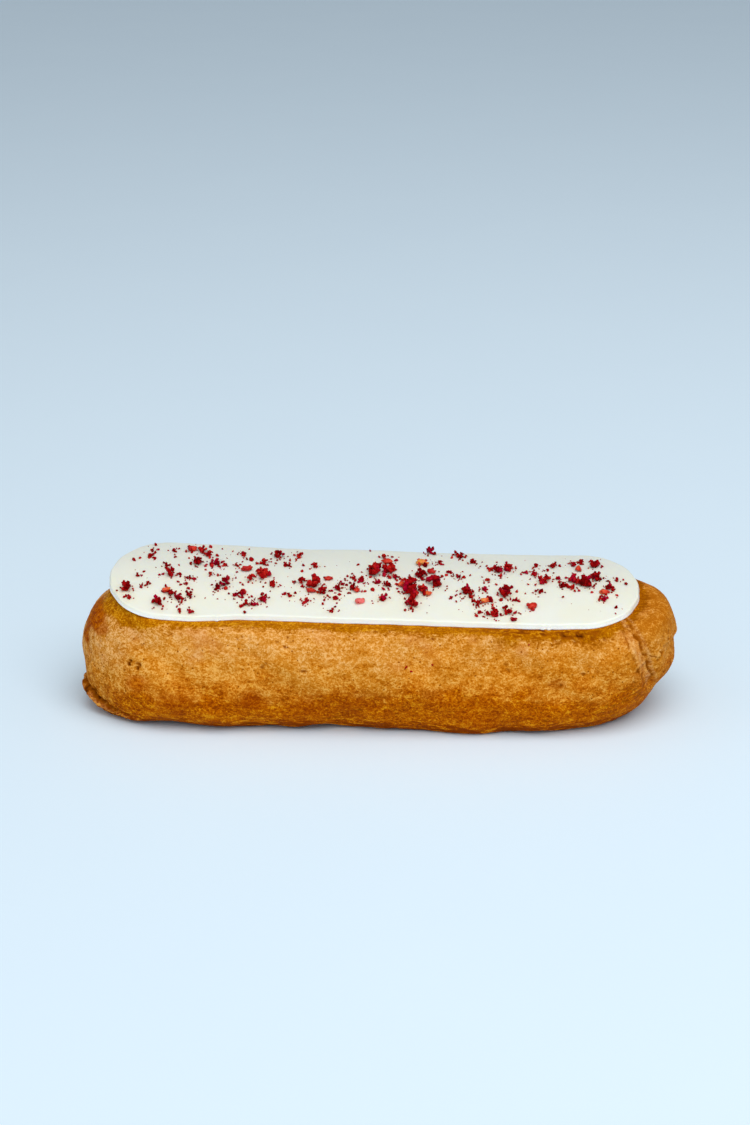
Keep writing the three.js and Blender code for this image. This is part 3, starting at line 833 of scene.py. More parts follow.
def store(piece, name, values):
    """A number for each corner, for the material to read."""
    attribute = piece.data.attributes.new(name, "FLOAT", "POINT")
    attribute.data.foreach_set("value", np.asarray(values, dtype=np.float32).ravel())


corners, faces = closed_loft(crust)
crust_piece = mesh_piece("baked_crust", corners, faces)
kept = {"painted_hollow_shade": painted_hollow_shade, "toast": toast, "beside_icing": beside_icing, "pitted": pitted, "pale": pale}
for name, values in kept.items():
    store(crust_piece, name, np.concatenate([[values[0].mean()], values.ravel(), [values[-1].mean()]]))
print("crust triangles:", sum(len(f) - 2 for f in faces))

# %% [markdown]
# The crust's finish. Seen close, baked choux is a net of pale tan flecks over amber, drawn
# out along the bun. It is warmer and darker towards the base, partly a browner crust and partly
# painted shade where the crust turns under, and yellow-brown right under the icing, which is
# painted shade from the icing's edge. One value, the lightness, gathers the flecks of all sizes.
# Five colour ramps turn it into the colours of the upper, middle and lower crust, the last with
# its painted shade, the toasted places and the painted shade under the icing. Masks choose
# between them, so the same flecks run through all five.

# %% Colours of the crust
UPPER_CRUST = [
    (0.25, (0.44, 0.125, 0.004)),
    (0.42, (0.58, 0.205, 0.015)),
    (0.56, (0.69, 0.280, 0.042)),
    (0.78, (0.88, 0.480, 0.170)),
]
MIDDLE_CRUST = [
    (0.27, (0.39, 0.092, 0.001)),
    (0.42, (0.55, 0.163, 0.005)),
    (0.56, (0.67, 0.238, 0.018)),
    (0.76, (0.86, 0.420, 0.090)),
]
# The lower crust: a browner crust, darkened further by painted shade where it turns under.
LOWER_CRUST_AND_SHADE = [
    (0.30, (0.25, 0.042, 0.0004)),
    (0.46, (0.45, 0.094, 0.0004)),
    (0.58, (0.57, 0.145, 0.0008)),
    (0.74, (0.78, 0.310, 0.008)),
]
# Painted shade: the darker crust colours of the band under the icing's overhanging edge.
SHADE_UNDER_ICING = [
    (0.27, (0.28, 0.070, 0.0004)),
    (0.48, (0.42, 0.122, 0.0008)),
    (0.62, (0.53, 0.182, 0.0012)),
    (0.80, (0.72, 0.320, 0.012)),
]
TOASTED_BROWN = [
    (0.30, (0.25, 0.035, 0.0002)),
    (0.46, (0.37, 0.065, 0.0003)),
    (0.60, (0.48, 0.105, 0.0006)),
    (0.78, (0.60, 0.165, 0.002)),
]
ROSY = (0.62, 0.235, 0.080)
SHADE_IN_DENTS = (0.30, 0.072, 0.001)
RIDGE_HIGHLIGHT = (0.84, 0.46, 0.17)
SHADE_IN_CRACKS = (0.085, 0.014, 0.001)
PIN_HOLE_SPACING = 1.15
PIN_HOLE_EDGE = (0.24, 0.12)


def colour_ramp(tree, value, stops):
    """The colours of the stops, blended by the value between their places."""
    node = add_node(tree, "ShaderNodeValToRGB", {0: value})
    band = node.color_ramp
    band.elements[0].position, band.elements[-1].position = stops[0][0], stops[-1][0]
    for place, _ in stops[1:-1]:
        band.elements.new(place)
    for element, (place, colour) in zip(band.elements, stops):
        element.position = place
        element.color = (*colour, 1)
    return node.outputs["Color"]


def pin_hole_shade_mask(tree, vector, share):
    """Small dark dots of painted shade for the fine pin-holes, one in each cell of a scattered pattern, in a
    share of the cells.
    """
    inputs = {"Vector": vector, "Scale": 1 / PIN_HOLE_SPACING, "Randomness": 1.0}
    cells = add_node(tree, "ShaderNodeTexVoronoi", inputs)
    pick = add_node(tree, "ShaderNodeSeparateColor", {0: cells.outputs["Color"]}).outputs["Red"]
    chosen = calculate(tree, "LESS_THAN", pick, share)
    dots = ramp(tree, cells.outputs["Distance"], *PIN_HOLE_EDGE)
    return calculate(tree, "MULTIPLY", dots, chosen)


# %% [markdown]
# The material reads like a recipe. The lightness is mixed first, from flecks, blotches,
# threads and grain, then shifted where the photograph is darker or lighter: painted shade
# darkens the right cap and the foot, and painted light lightens the left side. The three body
# colours follow one another down the crust, darker towards the base, partly a browner crust and
# partly painted shade, along a line that wavers with the patches. Over them go the toasted
# places, the painted shade under the icing's edge, the painted highlight on the ridges, and the
# painted shade of the pin-holes and the cracks.

# %% Finish of the crust
def crust_finish():
    """The baked crust's material."""
    material, tree, shader = new_material("baked_crust_finish")
    plain = millimetres(tree)
    drawn_out = millimetres(tree, (1.5, 1, 1))
    threads_way = millimetres(tree, (6.0, 1, 1))
    parts = add_node(tree, "ShaderNodeSeparateXYZ", {0: plain})
    height = parts.outputs["Z"]
    lengthways = parts.outputs["X"]

    def times(first, second):
        """One value times another."""
        return calculate(tree, "MULTIPLY", first, second)

    def plus(first, second):
        """One value and another added up."""
        return calculate(tree, "ADD", first, second)

    def minus(first, second):
        """One value less another."""
        return calculate(tree, "SUBTRACT", first, second)

    def web(size):
        """Thin winding lines, where a noise crosses its middle."""
        wave = noise(tree, plain, size, detail=2, distortion=0.8)
        return ramp(tree, calculate(tree, "ABSOLUTE", minus(wave, 0.5)), 0.045, 0.0)

    patches = noise(tree, plain, 6.5, detail=3)
    flecks = noise(tree, drawn_out, 0.48, detail=5, roughness=0.72)
    blotches = noise(tree, drawn_out, 1.9, detail=4, roughness=0.6)
    threads = noise(tree, threads_way, 0.8, detail=3, roughness=0.5)
    grain = noise(tree, plain, 0.32, detail=2, roughness=0.6)
    lightness = plus(times(flecks, 0.44), plus(times(blotches, 0.22), times(threads, 0.12)))
    lightness = plus(lightness, times(grain, 0.22))
    webs = plus(times(web(2.6), 0.060), times(web(1.3), 0.040))
    lightness = plus(lightness, minus(webs, 0.017))
    streaks = times(ramp(tree, height, 5.0, 1.5), minus(threads, 0.44))
    lightness = plus(lightness, times(streaks, 0.55))
    lightness = ramp_straight(tree, lightness, 0.295, 0.705)
    # Painted shade: the upper right cap is darkened, where it turns away from the light.
    right_cap_painted_shade = times(ramp(tree, lengthways, 54.0, 63.0, 0.0, 0.17), ramp(tree, height, 19.0, 26.0))
    lightness = minus(lightness, right_cap_painted_shade)
    # Painted light: the crust is lightened towards its left, above the foot, as if lit from the left.
    left_side_painted_light = times(ramp(tree, lengthways, 45.0, -50.0, 0.0, 0.07), ramp(tree, height, 9.0, 15.0))
    lightness = plus(lightness, left_side_painted_light)
    left_contrast = ramp(tree, lengthways, -48.0, -62.0, 1.0, 1.35)
    lightness = swing(tree, lightness, left_contrast)
    lightness = plus(lightness, ramp(tree, lengthways, -50.0, -64.0, 0.5, 0.485))
    # Darker just above the floor: partly a browner crust and partly painted shade where the crust meets the
    # floor.
    lightness = minus(lightness, ramp(tree, height, 4.4, 1.4, 0.0, 0.24))

    upper = colour_ramp(tree, lightness, UPPER_CRUST)
    rosy = ramp(tree, noise(tree, plain, 9, detail=2), 0.50, 0.68, 0, 0.35)
    upper = blend(tree, rosy, upper, ROSY)
    middle_colour = colour_ramp(tree, lightness, MIDDLE_CRUST)
    lower = colour_ramp(tree, lightness, LOWER_CRUST_AND_SHADE)
    wavering = plus(height, swing(tree, patches, 18.0))
    wavering = plus(wavering, swing(tree, blotches, 8.0))
    wavering = plus(wavering, ramp(tree, lengthways, -52.0, -63.0, 0.0, 5.0))
    # Darker towards the base: partly a browner crust and partly painted shade where the crust turns under.
    body = blend(tree, ramp(tree, wavering, 25.0, 16.0), upper, middle_colour)
    body = blend(tree, ramp(tree, wavering, 16.0, 8.5), body, lower)

    toasted = colour_ramp(tree, minus(lightness, 0.03), TOASTED_BROWN)
    body = blend(tree, stored(tree, "toast"), body, toasted)
    ragged = plus(stored(tree, "beside_icing"), swing(tree, blotches, 4.0))
    ragged = plus(ragged, swing(tree, flecks, 3.4))
    # Painted shade in a band under the icing's edge, with a ragged border.
    body = blend(tree, ramp(tree, ragged, 3.9, 2.4), body, colour_ramp(tree, lightness, SHADE_UNDER_ICING))
    # Painted highlight on the raised ridges and the lip's edge.
    body = blend(tree, times(stored(tree, "pale"), ramp(tree, lightness, 0.15, 0.55)), body, RIDGE_HIGHLIGHT)
    # Painted shade: dark dots for the fine pin-holes.
    body = blend(tree, pin_hole_shade_mask(tree, plain, stored(tree, "pitted")), body, SHADE_IN_DENTS)
    # Painted shade in the hollows, dark brown and then near black in the deepest.
    body = blend(tree, ramp(tree, stored(tree, "painted_hollow_shade"), 0.0, 0.45), body, SHADE_IN_DENTS)
    body = blend(tree, ramp(tree, stored(tree, "painted_hollow_shade"), 0.40, 0.95), body, SHADE_IN_CRACKS)
    tree.links.new(body, shader.inputs["Base Color"])

    tree.links.new(ramp(tree, flecks, 0.3, 0.7, 0.5, 0.7), shader.inputs["Roughness"])
    set_inputs(shader, {"Specular IOR Level": 0.015, "Specular Tint": (1.0, 0.62, 0.12, 1)})
    bump(tree, shader, lightness, 0.14, 0.7)
    return material


crust_piece.data.materials.append(crust_finish())
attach(crust_piece, "root")
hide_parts("choux_bun")

# %% [markdown]
# The icing sheet. It was rolled out and cut with an oval cutter, so its face is smooth, its
# edge is a clean low wall with a soft upper corner, and only a few burrs stand out from it.
# The wall leans out a little at its foot. The sheet is built from rings that follow the
# outline, close together at the edge where the light turns and wide apart in the flat middle.

# %% The icing sheet's outline
ICING_CAP_POINTS = 96
ICING_SIDE_POINTS = 260
BURRS = [(-34.6, -1, 0.35, 0.5), (39.6, -1, 0.25, 0.7), (41.0, -1, 0.35, 0.5)]
BURRS += [(-20.0, 1, 0.15, 2.0), (22.0, 1, 0.15, 3.0)]


def icing_outline():
    """For each corner of the outline, its point on the middle line and the way to the edge."""
    straight = ICING_HALF_LENGTH - ICING_END
    middles, alongs, acrosses = [], [], []
    for end in (1, -1):
        angles = -math.pi / 2 + math.pi * np.arange(ICING_CAP_POINTS) / ICING_CAP_POINTS
        middles.append(np.full(ICING_CAP_POINTS, end * straight))
        alongs.append(end * ICING_END * np.cos(angles))
        acrosses.append(end * ICING_HALF_WIDTH * np.sin(angles))
        run = np.arange(ICING_SIDE_POINTS) / ICING_SIDE_POINTS
        middles.append(end * straight * (1 - 2 * run))
        alongs.append(np.zeros(ICING_SIDE_POINTS))
        acrosses.append(np.full(ICING_SIDE_POINTS, end * ICING_HALF_WIDTH))
    return np.concatenate(middles), np.concatenate(alongs), np.concatenate(acrosses)


def on_icing(along, across):
    """A place given along and across the icing, as a place on the eclair."""
    x = ICING_CENTRE[0] + along * math.cos(ICING_YAW) - across * math.sin(ICING_YAW)
    y = ICING_CENTRE[1] + along * math.sin(ICING_YAW) + across * math.cos(ICING_YAW)
    return x, y


middle, along, across = icing_outline()
wobble = 1 + 0.006 * np.sin(middle * 0.23 + across) + 0.003 * np.sin(middle * 0.9 + across * 0.4)
edge_push = sum(
    size * hump(middle - at, width) * (np.sign(across) == side) for at, side, size, width in BURRS
)
droop_push = hump(middle + along - ICING_DROOP["at"], ICING_DROOP["half"]) * (across < 0)
droop_push = ICING_DROOP["out"] * droop_push
print("outline corners:", len(middle))

# %% [markdown]
# The raspberry was scattered while the icing was soft, so the sheet is dented a little
# under each large clump. The clumps are listed where the photograph has them. For sixteen of
# them, the last fourteen among them, a camera sum done outside this script turned the picked
# point into millimetres. Each is given along and across from the sheet's middle as it looks
# from the front, with its size. Seen so, a clump looks further back than it lies, so a small
# rule, settled by matching the photograph, brings it forward.

# %% Where the raspberry lies
LEAST_DENTING = 1.5
DENT = 0.045
SEEN = {"back": 3.3, "front": 2.2, "from": -3, "to": -8, "turn": 0.0029, "beyond": 40, "edge": 14.6}
CLUMPS = [
    [-58.4, -5.2, 2.6], [-51.1, -10.4, 2.7], [-48.3, -6.6, 1.6], [-46.6, -8.0, 1.7],
    [-43.5, -6.5, 1.7], [-47.5, 2.3, 2.4], [-48.7, 5.8, 1.3], [-41.9, 7.9, 2.4],
    [-41.4, 13.6, 2.0], [-39.5, 11.9, 1.8], [-37.4, 8.2, 1.9], [-34.8, -0.9, 2.3],
    [-44.5, -13.8, 1.3], [-47.0, -14.2, 1.2], [-26.1, 9.0, 1.8], [-25.6, 3.4, 3.2],
    [-28.5, 1.9, 2.0], [-23.3, 12.7, 2.4], [-18.1, 13.1, 1.4], [-23.1, -0.3, 1.8],
    [-26.6, -7.1, 2.2], [-28.5, -8.9, 1.3], [-16.0, -7.1, 1.3], [-13.6, 0.4, 3.4],
    [-16.6, 1.4, 2.0], [-11.5, -2.5, 2.2], [-7.1, 1.3, 1.2], [-10.1, -10.7, 1.3],
    [-4.4, -0.5, 1.8], [-2.6, 2.9, 1.7], [0.0, 6.6, 3.4], [3.4, 7.9, 3.2],
    [1.9, 13.8, 1.5], [2.1, -4.2, 2.2], [12.9, 17.4, 2.4], [10.8, 5.6, 2.9],
    [14.6, 2.2, 3.6], [8.2, 0.2, 3.8], [9.6, -2.6, 3.4], [12.0, -1.3, 2.4],
    [9.2, -7.1, 2.8], [19.4, 16.2, 2.0], [21.6, -0.7, 2.8], [25.9, 0.8, 1.3],
    [26.4, 5.1, 1.1], [27.2, -3.6, 1.6], [24.5, -5.3, 1.6], [31.0, -0.4, 3.0],
    [31.3, 10.0, 2.4], [29.2, 9.2, 2.2], [27.8, -9.6, 2.6], [31.5, -8.6, 2.0],
    [32.5, -11.6, 1.3], [39.5, 4.7, 2.6], [38.8, 0.3, 1.2], [41.9, 11.3, 1.5],
    [51.3, 12.6, 2.6], [46.8, 12.6, 1.6], [46.8, 4.9, 2.8], [49.4, 3.6, 3.2],
    [51.8, 6.4, 2.4], [54.8, 2.2, 1.9], [53.4, -2.6, 1.5], [44.5, 2.7, 1.6],
    [-53.2, 9.6, 1.0], [-35.4, 7.8, 1.3], [-30.9, -4.4, 1.6], [-20.6, 8.9, 1.2],
    [-14.2, 9.0, 1.5], [-19.8, -4.4, 1.1], [-9.1, -4.6, 1.5], [-8.2, -0.6, 1.4],
    [-4.6, 4.1, 1.3], [3.4, 1.2, 1.5], [5.0, 4.6, 1.2], [1.4, 2.3, 1.4],
    [11.9, 10.2, 1.4], [15.2, 12.4, 1.3], [17.8, 8.1, 1.4], [19.6, 6.2, 1.2],
    [23.0, 13.2, 1.5], [27.4, 9.8, 1.3], [35.7, 8.4, 1.1], [37.9, 11.4, 1.2],
    [22.8, -2.4, 1.3], [33.2, -3.2, 1.2], [37.6, 7.4, 1.3], [43.2, 5.8, 1.2],
    [46.2, 1.6, 1.3], [48.4, 14.0, 1.3], [56.6, 6.0, 0.9], [24.6, -9.4, 1.0],
    [-43.2, 1.1, 1.3], [-38.2, 3.4, 1.1], [-43.8, -1.5, 1.0], [-53.3, -2.9, 1.0],
    [-54.9, 0.8, 0.9], [-32.5, 7.8, 1.1], [-31.6, 12.7, 1.3], [-32.8, -5.3, 1.3],
    [-58.4, -8.9, 1.1], [-34.0, 1.3, 1.5], [-36.3, -2.4, 1.4], [-30.8, -9.0, 1.5],
    [-53.3, 12.8, 0.9], [-48.0, 12.9, 1.1],
]


def on_sheet(at_along, at_across):
    """A place counted from the sheet's middle as it looks from the front, on the sheet itself."""
    front_share = float(smooth_step(SEEN["from"], SEEN["to"], at_across))
    nearer = SEEN["back"] + (SEEN["front"] - SEEN["back"]) * front_share
    turned = SEEN["turn"] * max(0, 1 - at_across) * max(0, SEEN["beyond"] - at_along)
    return at_along + turned, max(-SEEN["edge"], at_across - nearer)


CLUMPS = [(*on_sheet(at_along, at_across), size) for at_along, at_across, size in CLUMPS]


def from_clumps(px, py):
    """Each clump's size, and how far from its middle every point lies."""
    for at_along, at_across, size in CLUMPS:
        cx, cy = on_icing(at_along, at_across)
        yield size, np.hypot(px - cx, py - cy)


def icing_relief(px, py):
    """Dents under the clumps and slow unevenness of the rolled face."""
    total = 0.05 * space_noise(np.stack([px, py, 0 * px], axis=-1), 7, 21)
    for size, away in from_clumps(px, py):
        if size >= LEAST_DENTING:
            total = total - DENT * size * hump(away, size * 1.1)
    return total


print("clumps:", len(CLUMPS))

# %% [markdown]
# Now the sheet's mesh. Each ring has a share, which says how far out it runs, and a drop
# below the upper face. The list runs from the middle of the underside, out to the foot, up
# the wall, round the upper corner and in to the middle of the top, where the rings close up
# and their corners are welded.

# %% Build the icing sheet
EDGE_ROUND = 0.45
WALL_LEAN = 0.3
UNDERSIDE_SHARES = (0.0, 0.6, 0.985, 0.997)
WALL_DROPS = (1.12, 1.0, 0.8, 0.6)
FACE_SHARES = np.linspace(0.94, 0.0, 34)

RINGS = [(share, ICING_THICKNESS) for share in UNDERSIDE_SHARES]
RINGS += [(1 - WALL_LEAN * (ICING_THICKNESS - drop) / ICING_HALF_WIDTH, drop) for drop in WALL_DROPS]
for turn in np.linspace(0.2, math.pi / 2, 8):
    inwards = WALL_LEAN * 0.7 + EDGE_ROUND * (1 - math.cos(turn))
    RINGS.append((1 - inwards / ICING_HALF_WIDTH, EDGE_ROUND * (1 - math.sin(turn))))
RINGS += [(share, 0.0) for share in FACE_SHARES]


def build_icing():
    """The icing sheet as rings from the middle of its underside to the middle of its top."""
    grid = []
    for share, drop in RINGS:
        push = edge_push * share**6 + droop_push * share**2
        sideways = across * share * wobble + np.sign(across) * push
        px, py = on_icing(middle + along * share * wobble, sideways)
        face = icing_relief(px, py) if drop == 0 else 0.0
        grid.append(np.stack([px, py, icing_top(px, py) - drop + face], axis=-1))
    quads = ring_quads(len(RINGS), len(middle))[:, ::-1]
    return mesh_piece("icing_sheet_smooth", np.concatenate(grid), quads.tolist())


def weld(piece, distance_mm):
    """Joins corners that lie on each other and drops the faces that close up."""
    work = bmesh.new()
    work.from_mesh(piece.data)
    bmesh.ops.remove_doubles(work, verts=work.verts, dist=distance_mm * MM)
    bmesh.ops.dissolve_degenerate(work, edges=work.edges, dist=distance_mm * MM / 4)
    bmesh.ops.recalc_face_normals(work, faces=work.faces)
    work.to_mesh(piece.data)
    work.free()
    piece.data.polygons.foreach_set("use_smooth", [True] * len(piece.data.polygons))
    piece.data.update()


icing_piece = build_icing()
weld(icing_piece, 0.02)
print("icing faces:", len(icing_piece.data.polygons))

# %% [markdown]
# The icing's colour needs three numbers at each corner: how much of the wall it is, for the
# painted light that whitens the wall, how far back it lies, for the painted shade that greys the
# back, and how near it is to a clump, for the painted shade round each clump.

# %% What the icing's colour needs
CLUMP_SHADE = {"strength": 0.55, "reach": 1.6, "per_size": 0.9}
WALL_LIGHT_DEPTHS = (0.35, 0.90)
BACK_SHADE_SPAN = (-10, 17)

spots = np.array([v.co[:] for v in icing_piece.data.vertices]) / MM
drop = icing_top(spots[:, 0], spots[:, 1]) - spots[:, 2]
# Painted light: the lower wall and its corner are whitened by this number.
store(icing_piece, "wall_painted_light", smooth_step(*WALL_LIGHT_DEPTHS, drop))
from_middle = spots[:, 1] - ICING_CENTRE[1] - math.sin(ICING_YAW) * (spots[:, 0] - ICING_CENTRE[0])
# Painted shade: the back of the icing is greyed by this number.
store(icing_piece, "back", smooth_step(*BACK_SHADE_SPAN, from_middle))
# Painted shade: a soft yellow shade round each clump, wider round larger ones.
clump_shade = np.zeros(len(spots))
for size, away in from_clumps(spots[:, 0], spots[:, 1]):
    reach = CLUMP_SHADE["reach"] + CLUMP_SHADE["per_size"] * size
    clump_shade = np.maximum(clump_shade, CLUMP_SHADE["strength"] * hump(away, reach))
store(icing_piece, "clump_shade", clump_shade)
print("clump_shaded share of the icing:", round(float((clump_shade > 0.1).mean()), 3))

# %% [markdown]
# White icing is mostly sugar: light goes in and comes out again a little way off, so its
# shadows are soft and warm. The finish is a satin ivory with the faintest yellow clouds, and
# a very slight grain in the gloss. Painted light makes the wall whiter, painted shade makes the
# back a little greyer, and painted shade yellows the icing round each clump.

# %% Finish of the icing
def icing_finish():
    """The icing's material."""
    material, tree, shader = new_material("icing_finish")
    plain = millimetres(tree)
    clouds = noise(tree, plain, 9, detail=3)
    colour = blend(tree, ramp(tree, clouds, 0.35, 0.7), (0.85, 0.85, 0.755), (0.85, 0.84, 0.705))
    # Painted shade: a yellower colour round each clump.
    colour = blend(tree, stored(tree, "clump_shade"), colour, (0.83, 0.77, 0.58))
    # Painted shade: a greyer colour towards the back.
    colour = blend(tree, stored(tree, "back"), colour, (0.72, 0.74, 0.67))
    # Painted light: a whiter colour on the wall.
    colour = blend(tree, stored(tree, "wall_painted_light"), colour, (0.99, 0.98, 0.90))
    tree.links.new(colour, shader.inputs["Base Color"])
    satin = ramp(tree, noise(tree, plain, 1.4, detail=3), 0.3, 0.7, 0.36, 0.46)
    tree.links.new(satin, shader.inputs["Roughness"])
    set_inputs(shader, {"Specular IOR Level": 0.35, "Subsurface Weight": 0.30})
    set_inputs(shader, {"Subsurface Radius": (0.0020, 0.0016, 0.0010), "Subsurface Scale": 1.0})
    bump(tree, shader, noise(tree, plain, 0.8, detail=3), 0.03, 0.5)
    return material


icing_piece.data.materials.append(icing_finish())
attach(icing_piece, "root")
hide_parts("icing_sheet")

# %% [markdown]
# The raspberry. Freeze-dried fruit breaks into crumbs of dark skin and dry flesh, so a
# clump is not one lump but a little heap of rough pieces of many sizes. Each kind is one
# mesh made of many small closed stones: a base ball is pulled about by seeded noise,
# squashed, turned and set down, and the stones of a heap are piled over their middle.

# %% A rough stone
CLEAR_OF_EDGE = 0.95


def ball(level):
    """Corners and triangles of a round ball, cut finer at each level."""
    work = bmesh.new()
    bmesh.ops.create_icosphere(work, subdivisions=level, radius=1.0)
    work.verts.ensure_lookup_table()
    corners = np.array([v.co[:] for v in work.verts])
    faces = np.array([[v.index for v in f.verts] for f in work.faces])
    work.free()
    return corners, faces


BALLS = {level: ball(level) for level in (2, 3)}


def turn_matrix(draw):
    """A random turn in space."""
    quaternion = Quaternion([draw() + draw() + draw() - 1.5 for _ in range(4)])
    return np.array(quaternion.normalized().to_matrix())


class Heap:
    """Gathers many stones and their colour numbers into one mesh."""

    def __init__(self):
        self.corners = []
        self.faces = []
        self.tints = []
        self.count = 0

    def add(self, place, size, stretch, rough, level, draw, tint, turn=None, shade=0.0):
        """Lays one stone: its size across, its stretch each way, and how rough and fine it is."""
        corners, faces = BALLS[level]
        offset = np.array([draw(), draw(), draw()]) * 50
        swell = 1 + rough * space_noise(corners + offset, 0.9, 31)
        swell = swell + 0.5 * rough * space_noise(corners + offset, 0.4, 32)
        shape = corners * swell[:, None] * np.asarray(stretch) * size / 2
        shape = shape @ (turn_matrix(draw) if turn is None else turn).T
        self.faces.append(faces + self.count)
        self.corners.append(shape + np.asarray(place))
        self.tints.append(tint + shade * corners[:, 0])
        self.count += len(corners)

    def build(self, name):
        """The stones as one piece that keeps their colour numbers."""
        piece = mesh_piece(name, np.concatenate(self.corners), np.concatenate(self.faces).tolist())
        store(piece, "tint", np.concatenate(self.tints))
        print(name, "triangles:", len(piece.data.polygons))
        return piece


def on_the_sheet(at_along, at_across):
    """Whether a place lies on the icing, clear of its edge."""
    return float(icing_share(*on_icing(at_along, at_across))) < CLEAR_OF_EDGE


def above_icing(at_along, at_across, lift):
    """A point over the icing's face."""
    px, py = on_icing(at_along, at_across)
    return np.array([px, py, float(icing_top(px, py)) + lift])


# %% [markdown]
# The clumps. Crumbs of dried fruit cling to each other, so a clump has a ragged, branching
# outline with gaps in it. It is grown as such things grow: a first stone is laid, and every
# later one is laid against a stone that is there already, at a random side of it. A colour
# number goes with each stone: low is nearly black crimson, high is bright red.

# %% Grow the clumps
FARTHEST_BACK = 14.8
LARGEST_STONE = 1.55
LEAST_STONE = 0.3


def grow_clump(draw, size):
    """Stones of one clump: place along and across from its middle, height and size."""
    largest = min(LARGEST_STONE, 0.40 + 0.32 * size)
    reach = 0.60 * size
    tall = 0.58 * size
    stones = [(0.0, 0.0, 0.0, largest)]
    wanted = int(4 + 4.2 * size**1.7)
    long_way = draw() * math.pi
    tries = 0
    while len(stones) < wanted and tries < wanted * 12:
        tries += 1
        parent = stones[int(draw() * len(stones))]
        turn = draw() * 2 * math.pi
        climb = draw() ** 1.5
        stone = max(LEAST_STONE, largest * (0.30 + 0.6 * draw()))
        step = 0.42 * (parent[3] + stone)
        u = parent[0] + step * math.cos(turn) * math.sqrt(1 - climb * climb)
        v = parent[1] + step * math.sin(turn) * math.sqrt(1 - climb * climb)
        w = parent[2] + step * climb
        along_way = u * math.cos(long_way) + v * math.sin(long_way)
        over_way = v * math.cos(long_way) - u * math.sin(long_way)
        if math.hypot(along_way / 1.2 / reach, over_way / 0.85 / reach, w / tall) > 1:
            continue
        stones.append((u, v, w, stone))
    return stones


def pile_clumps():
    """All the chosen clumps as one mesh of stones."""
    draw = make_random(611)
    heap = Heap()
    for at_along, at_across, size in CLUMPS:
        base_tint = 0.20 + 0.45 * draw()
        for u, v, stacked, stone in grow_clump(draw, size):
            stretch = (1.0, 0.65 + 0.35 * draw(), 0.55 + 0.4 * draw())
            tint = min(1, max(0, base_tint + 0.6 * (draw() - 0.5)))
            place = above_icing(at_along + u, min(FARTHEST_BACK, at_across + v), stone * 0.24 + stacked)
            heap.add(place, stone, stretch, 0.6, 3 if stone > 1.2 else 2, draw, tint)
        for _ in range(int(2 + 2.2 * size)):
            turn = draw() * 2 * math.pi
            away = size * 0.5 + 0.3 + 1.8 * draw() * draw()
            stone = 0.36 + 0.6 * draw() * draw()
            u, v = at_along + away * math.cos(turn), at_across + away * math.sin(turn)
            if on_the_sheet(u, v):
                heap.add(above_icing(u, v, stone * 0.22), stone, (1.0, 0.75, 0.6), 0.5, 2, draw, base_tint)
    return heap.build("raspberry_crumbs")


crumbs_piece = pile_clumps()

# %% [markdown]
# Pips and whole drupelets are smoother than the crumbs and lighter in colour, from red to
# orange and pink, so they are a kind of their own. Each lies on its side: it is given its
# length, its turn on the icing and a colour number. Small bits of flesh cling to it.

# %% Set out the pips
PIPS = [
    [-48.9, -5.2, 2.1, 40, 0.70], [-43.8, 14.0, 2.3, 10, 0.40], [-29.9, 5.7, 2.6, 5, 0.12],
    [-30.4, -3.5, 1.8, 80, 0.38], [-14.4, -2.2, 2.0, -30, 0.40], [-10.4, 3.2, 1.9, -10, 0.35],
    [-3.6, -1.2, 1.7, 70, 0.35], [-3.3, -6.7, 2.3, 25, 1.60], [2.8, 11.2, 2.2, -5, 0.45],
    [11.1, 11.2, 2.6, 5, 0.95], [13.4, 7.4, 2.2, -40, 0.15], [6.8, 1.5, 2.0, 60, 0.55],
    [12.9, -2.0, 1.7, -20, 0.75], [26.1, -4.0, 2.2, 10, 0.85], [37.2, -6.7, 2.4, 50, 0.32],
    [47.8, 10.2, 2.0, 80, 0.62], [53.6, 0.0, 2.1, -15, 0.62], [9.4, -6.6, 1.9, 70, 1.40],
]


def lay_pips():
    """All the pips as one mesh."""
    draw = make_random(77)
    heap = Heap()
    for seen_along, seen_across, size, turn, tint in PIPS:
        at_along, at_across = on_sheet(seen_along, seen_across)
        angle = math.radians(turn)
        cos, sin = math.cos(angle), math.sin(angle)
        matrix = np.array([[cos, -sin, 0], [sin, cos, 0], [0, 0, 1]])
        stretch = (1.0, 0.56 + 0.12 * draw(), 0.5)
        shade = 0.16 if draw() < 0.5 else -0.16
        place = above_icing(at_along, at_across, size * 0.24)
        heap.add(place, size, stretch, 0.42, 3, draw, tint, matrix, shade)
        for side in (angle + 0.6, angle - 2.4, angle + 2.2):
            beside = above_icing(
                at_along + (0.30 + 0.2 * draw()) * size * math.cos(side),
                at_across + (0.30 + 0.2 * draw()) * size * math.sin(side),
                size * (0.12 + 0.25 * draw()),
            )
            flesh_size = size * (0.22 + 0.22 * draw())
            heap.add(beside, flesh_size, (1.0, 0.8, 0.7), 0.6, 2, draw, 0.5 * draw() * tint)
    return heap.build("raspberry_pips")


pips_piece = lay_pips()

# %% [markdown]
# Specks and dust. Round every clump lie small broken bits, and fainter dust beyond them.
# They are drawn by chance round the clumps, thicker near them, with a few anywhere on the
# sheet, and the front edge stays almost clean as on the real one. Four crumbs have fallen
# off the icing and stuck to the front of the crust.

# %% Scatter the specks and the dust
SPECKS = {"count": 360, "largest": 1.15, "smallest": 0.40, "reach": 4.4, "anywhere": 0.22}
DUST = {"count": 230, "largest": 0.34, "smallest": 0.18, "reach": 5.5, "anywhere": 0.25}
SPREAD = {"along": 57, "front": -12, "deep": 26}
STRAYS = [(7.3, 18.1, 0.75), (8.6, 17.3, 0.7), (13.3, 18.8, 0.65), (35.0, 23.3, 0.6)]


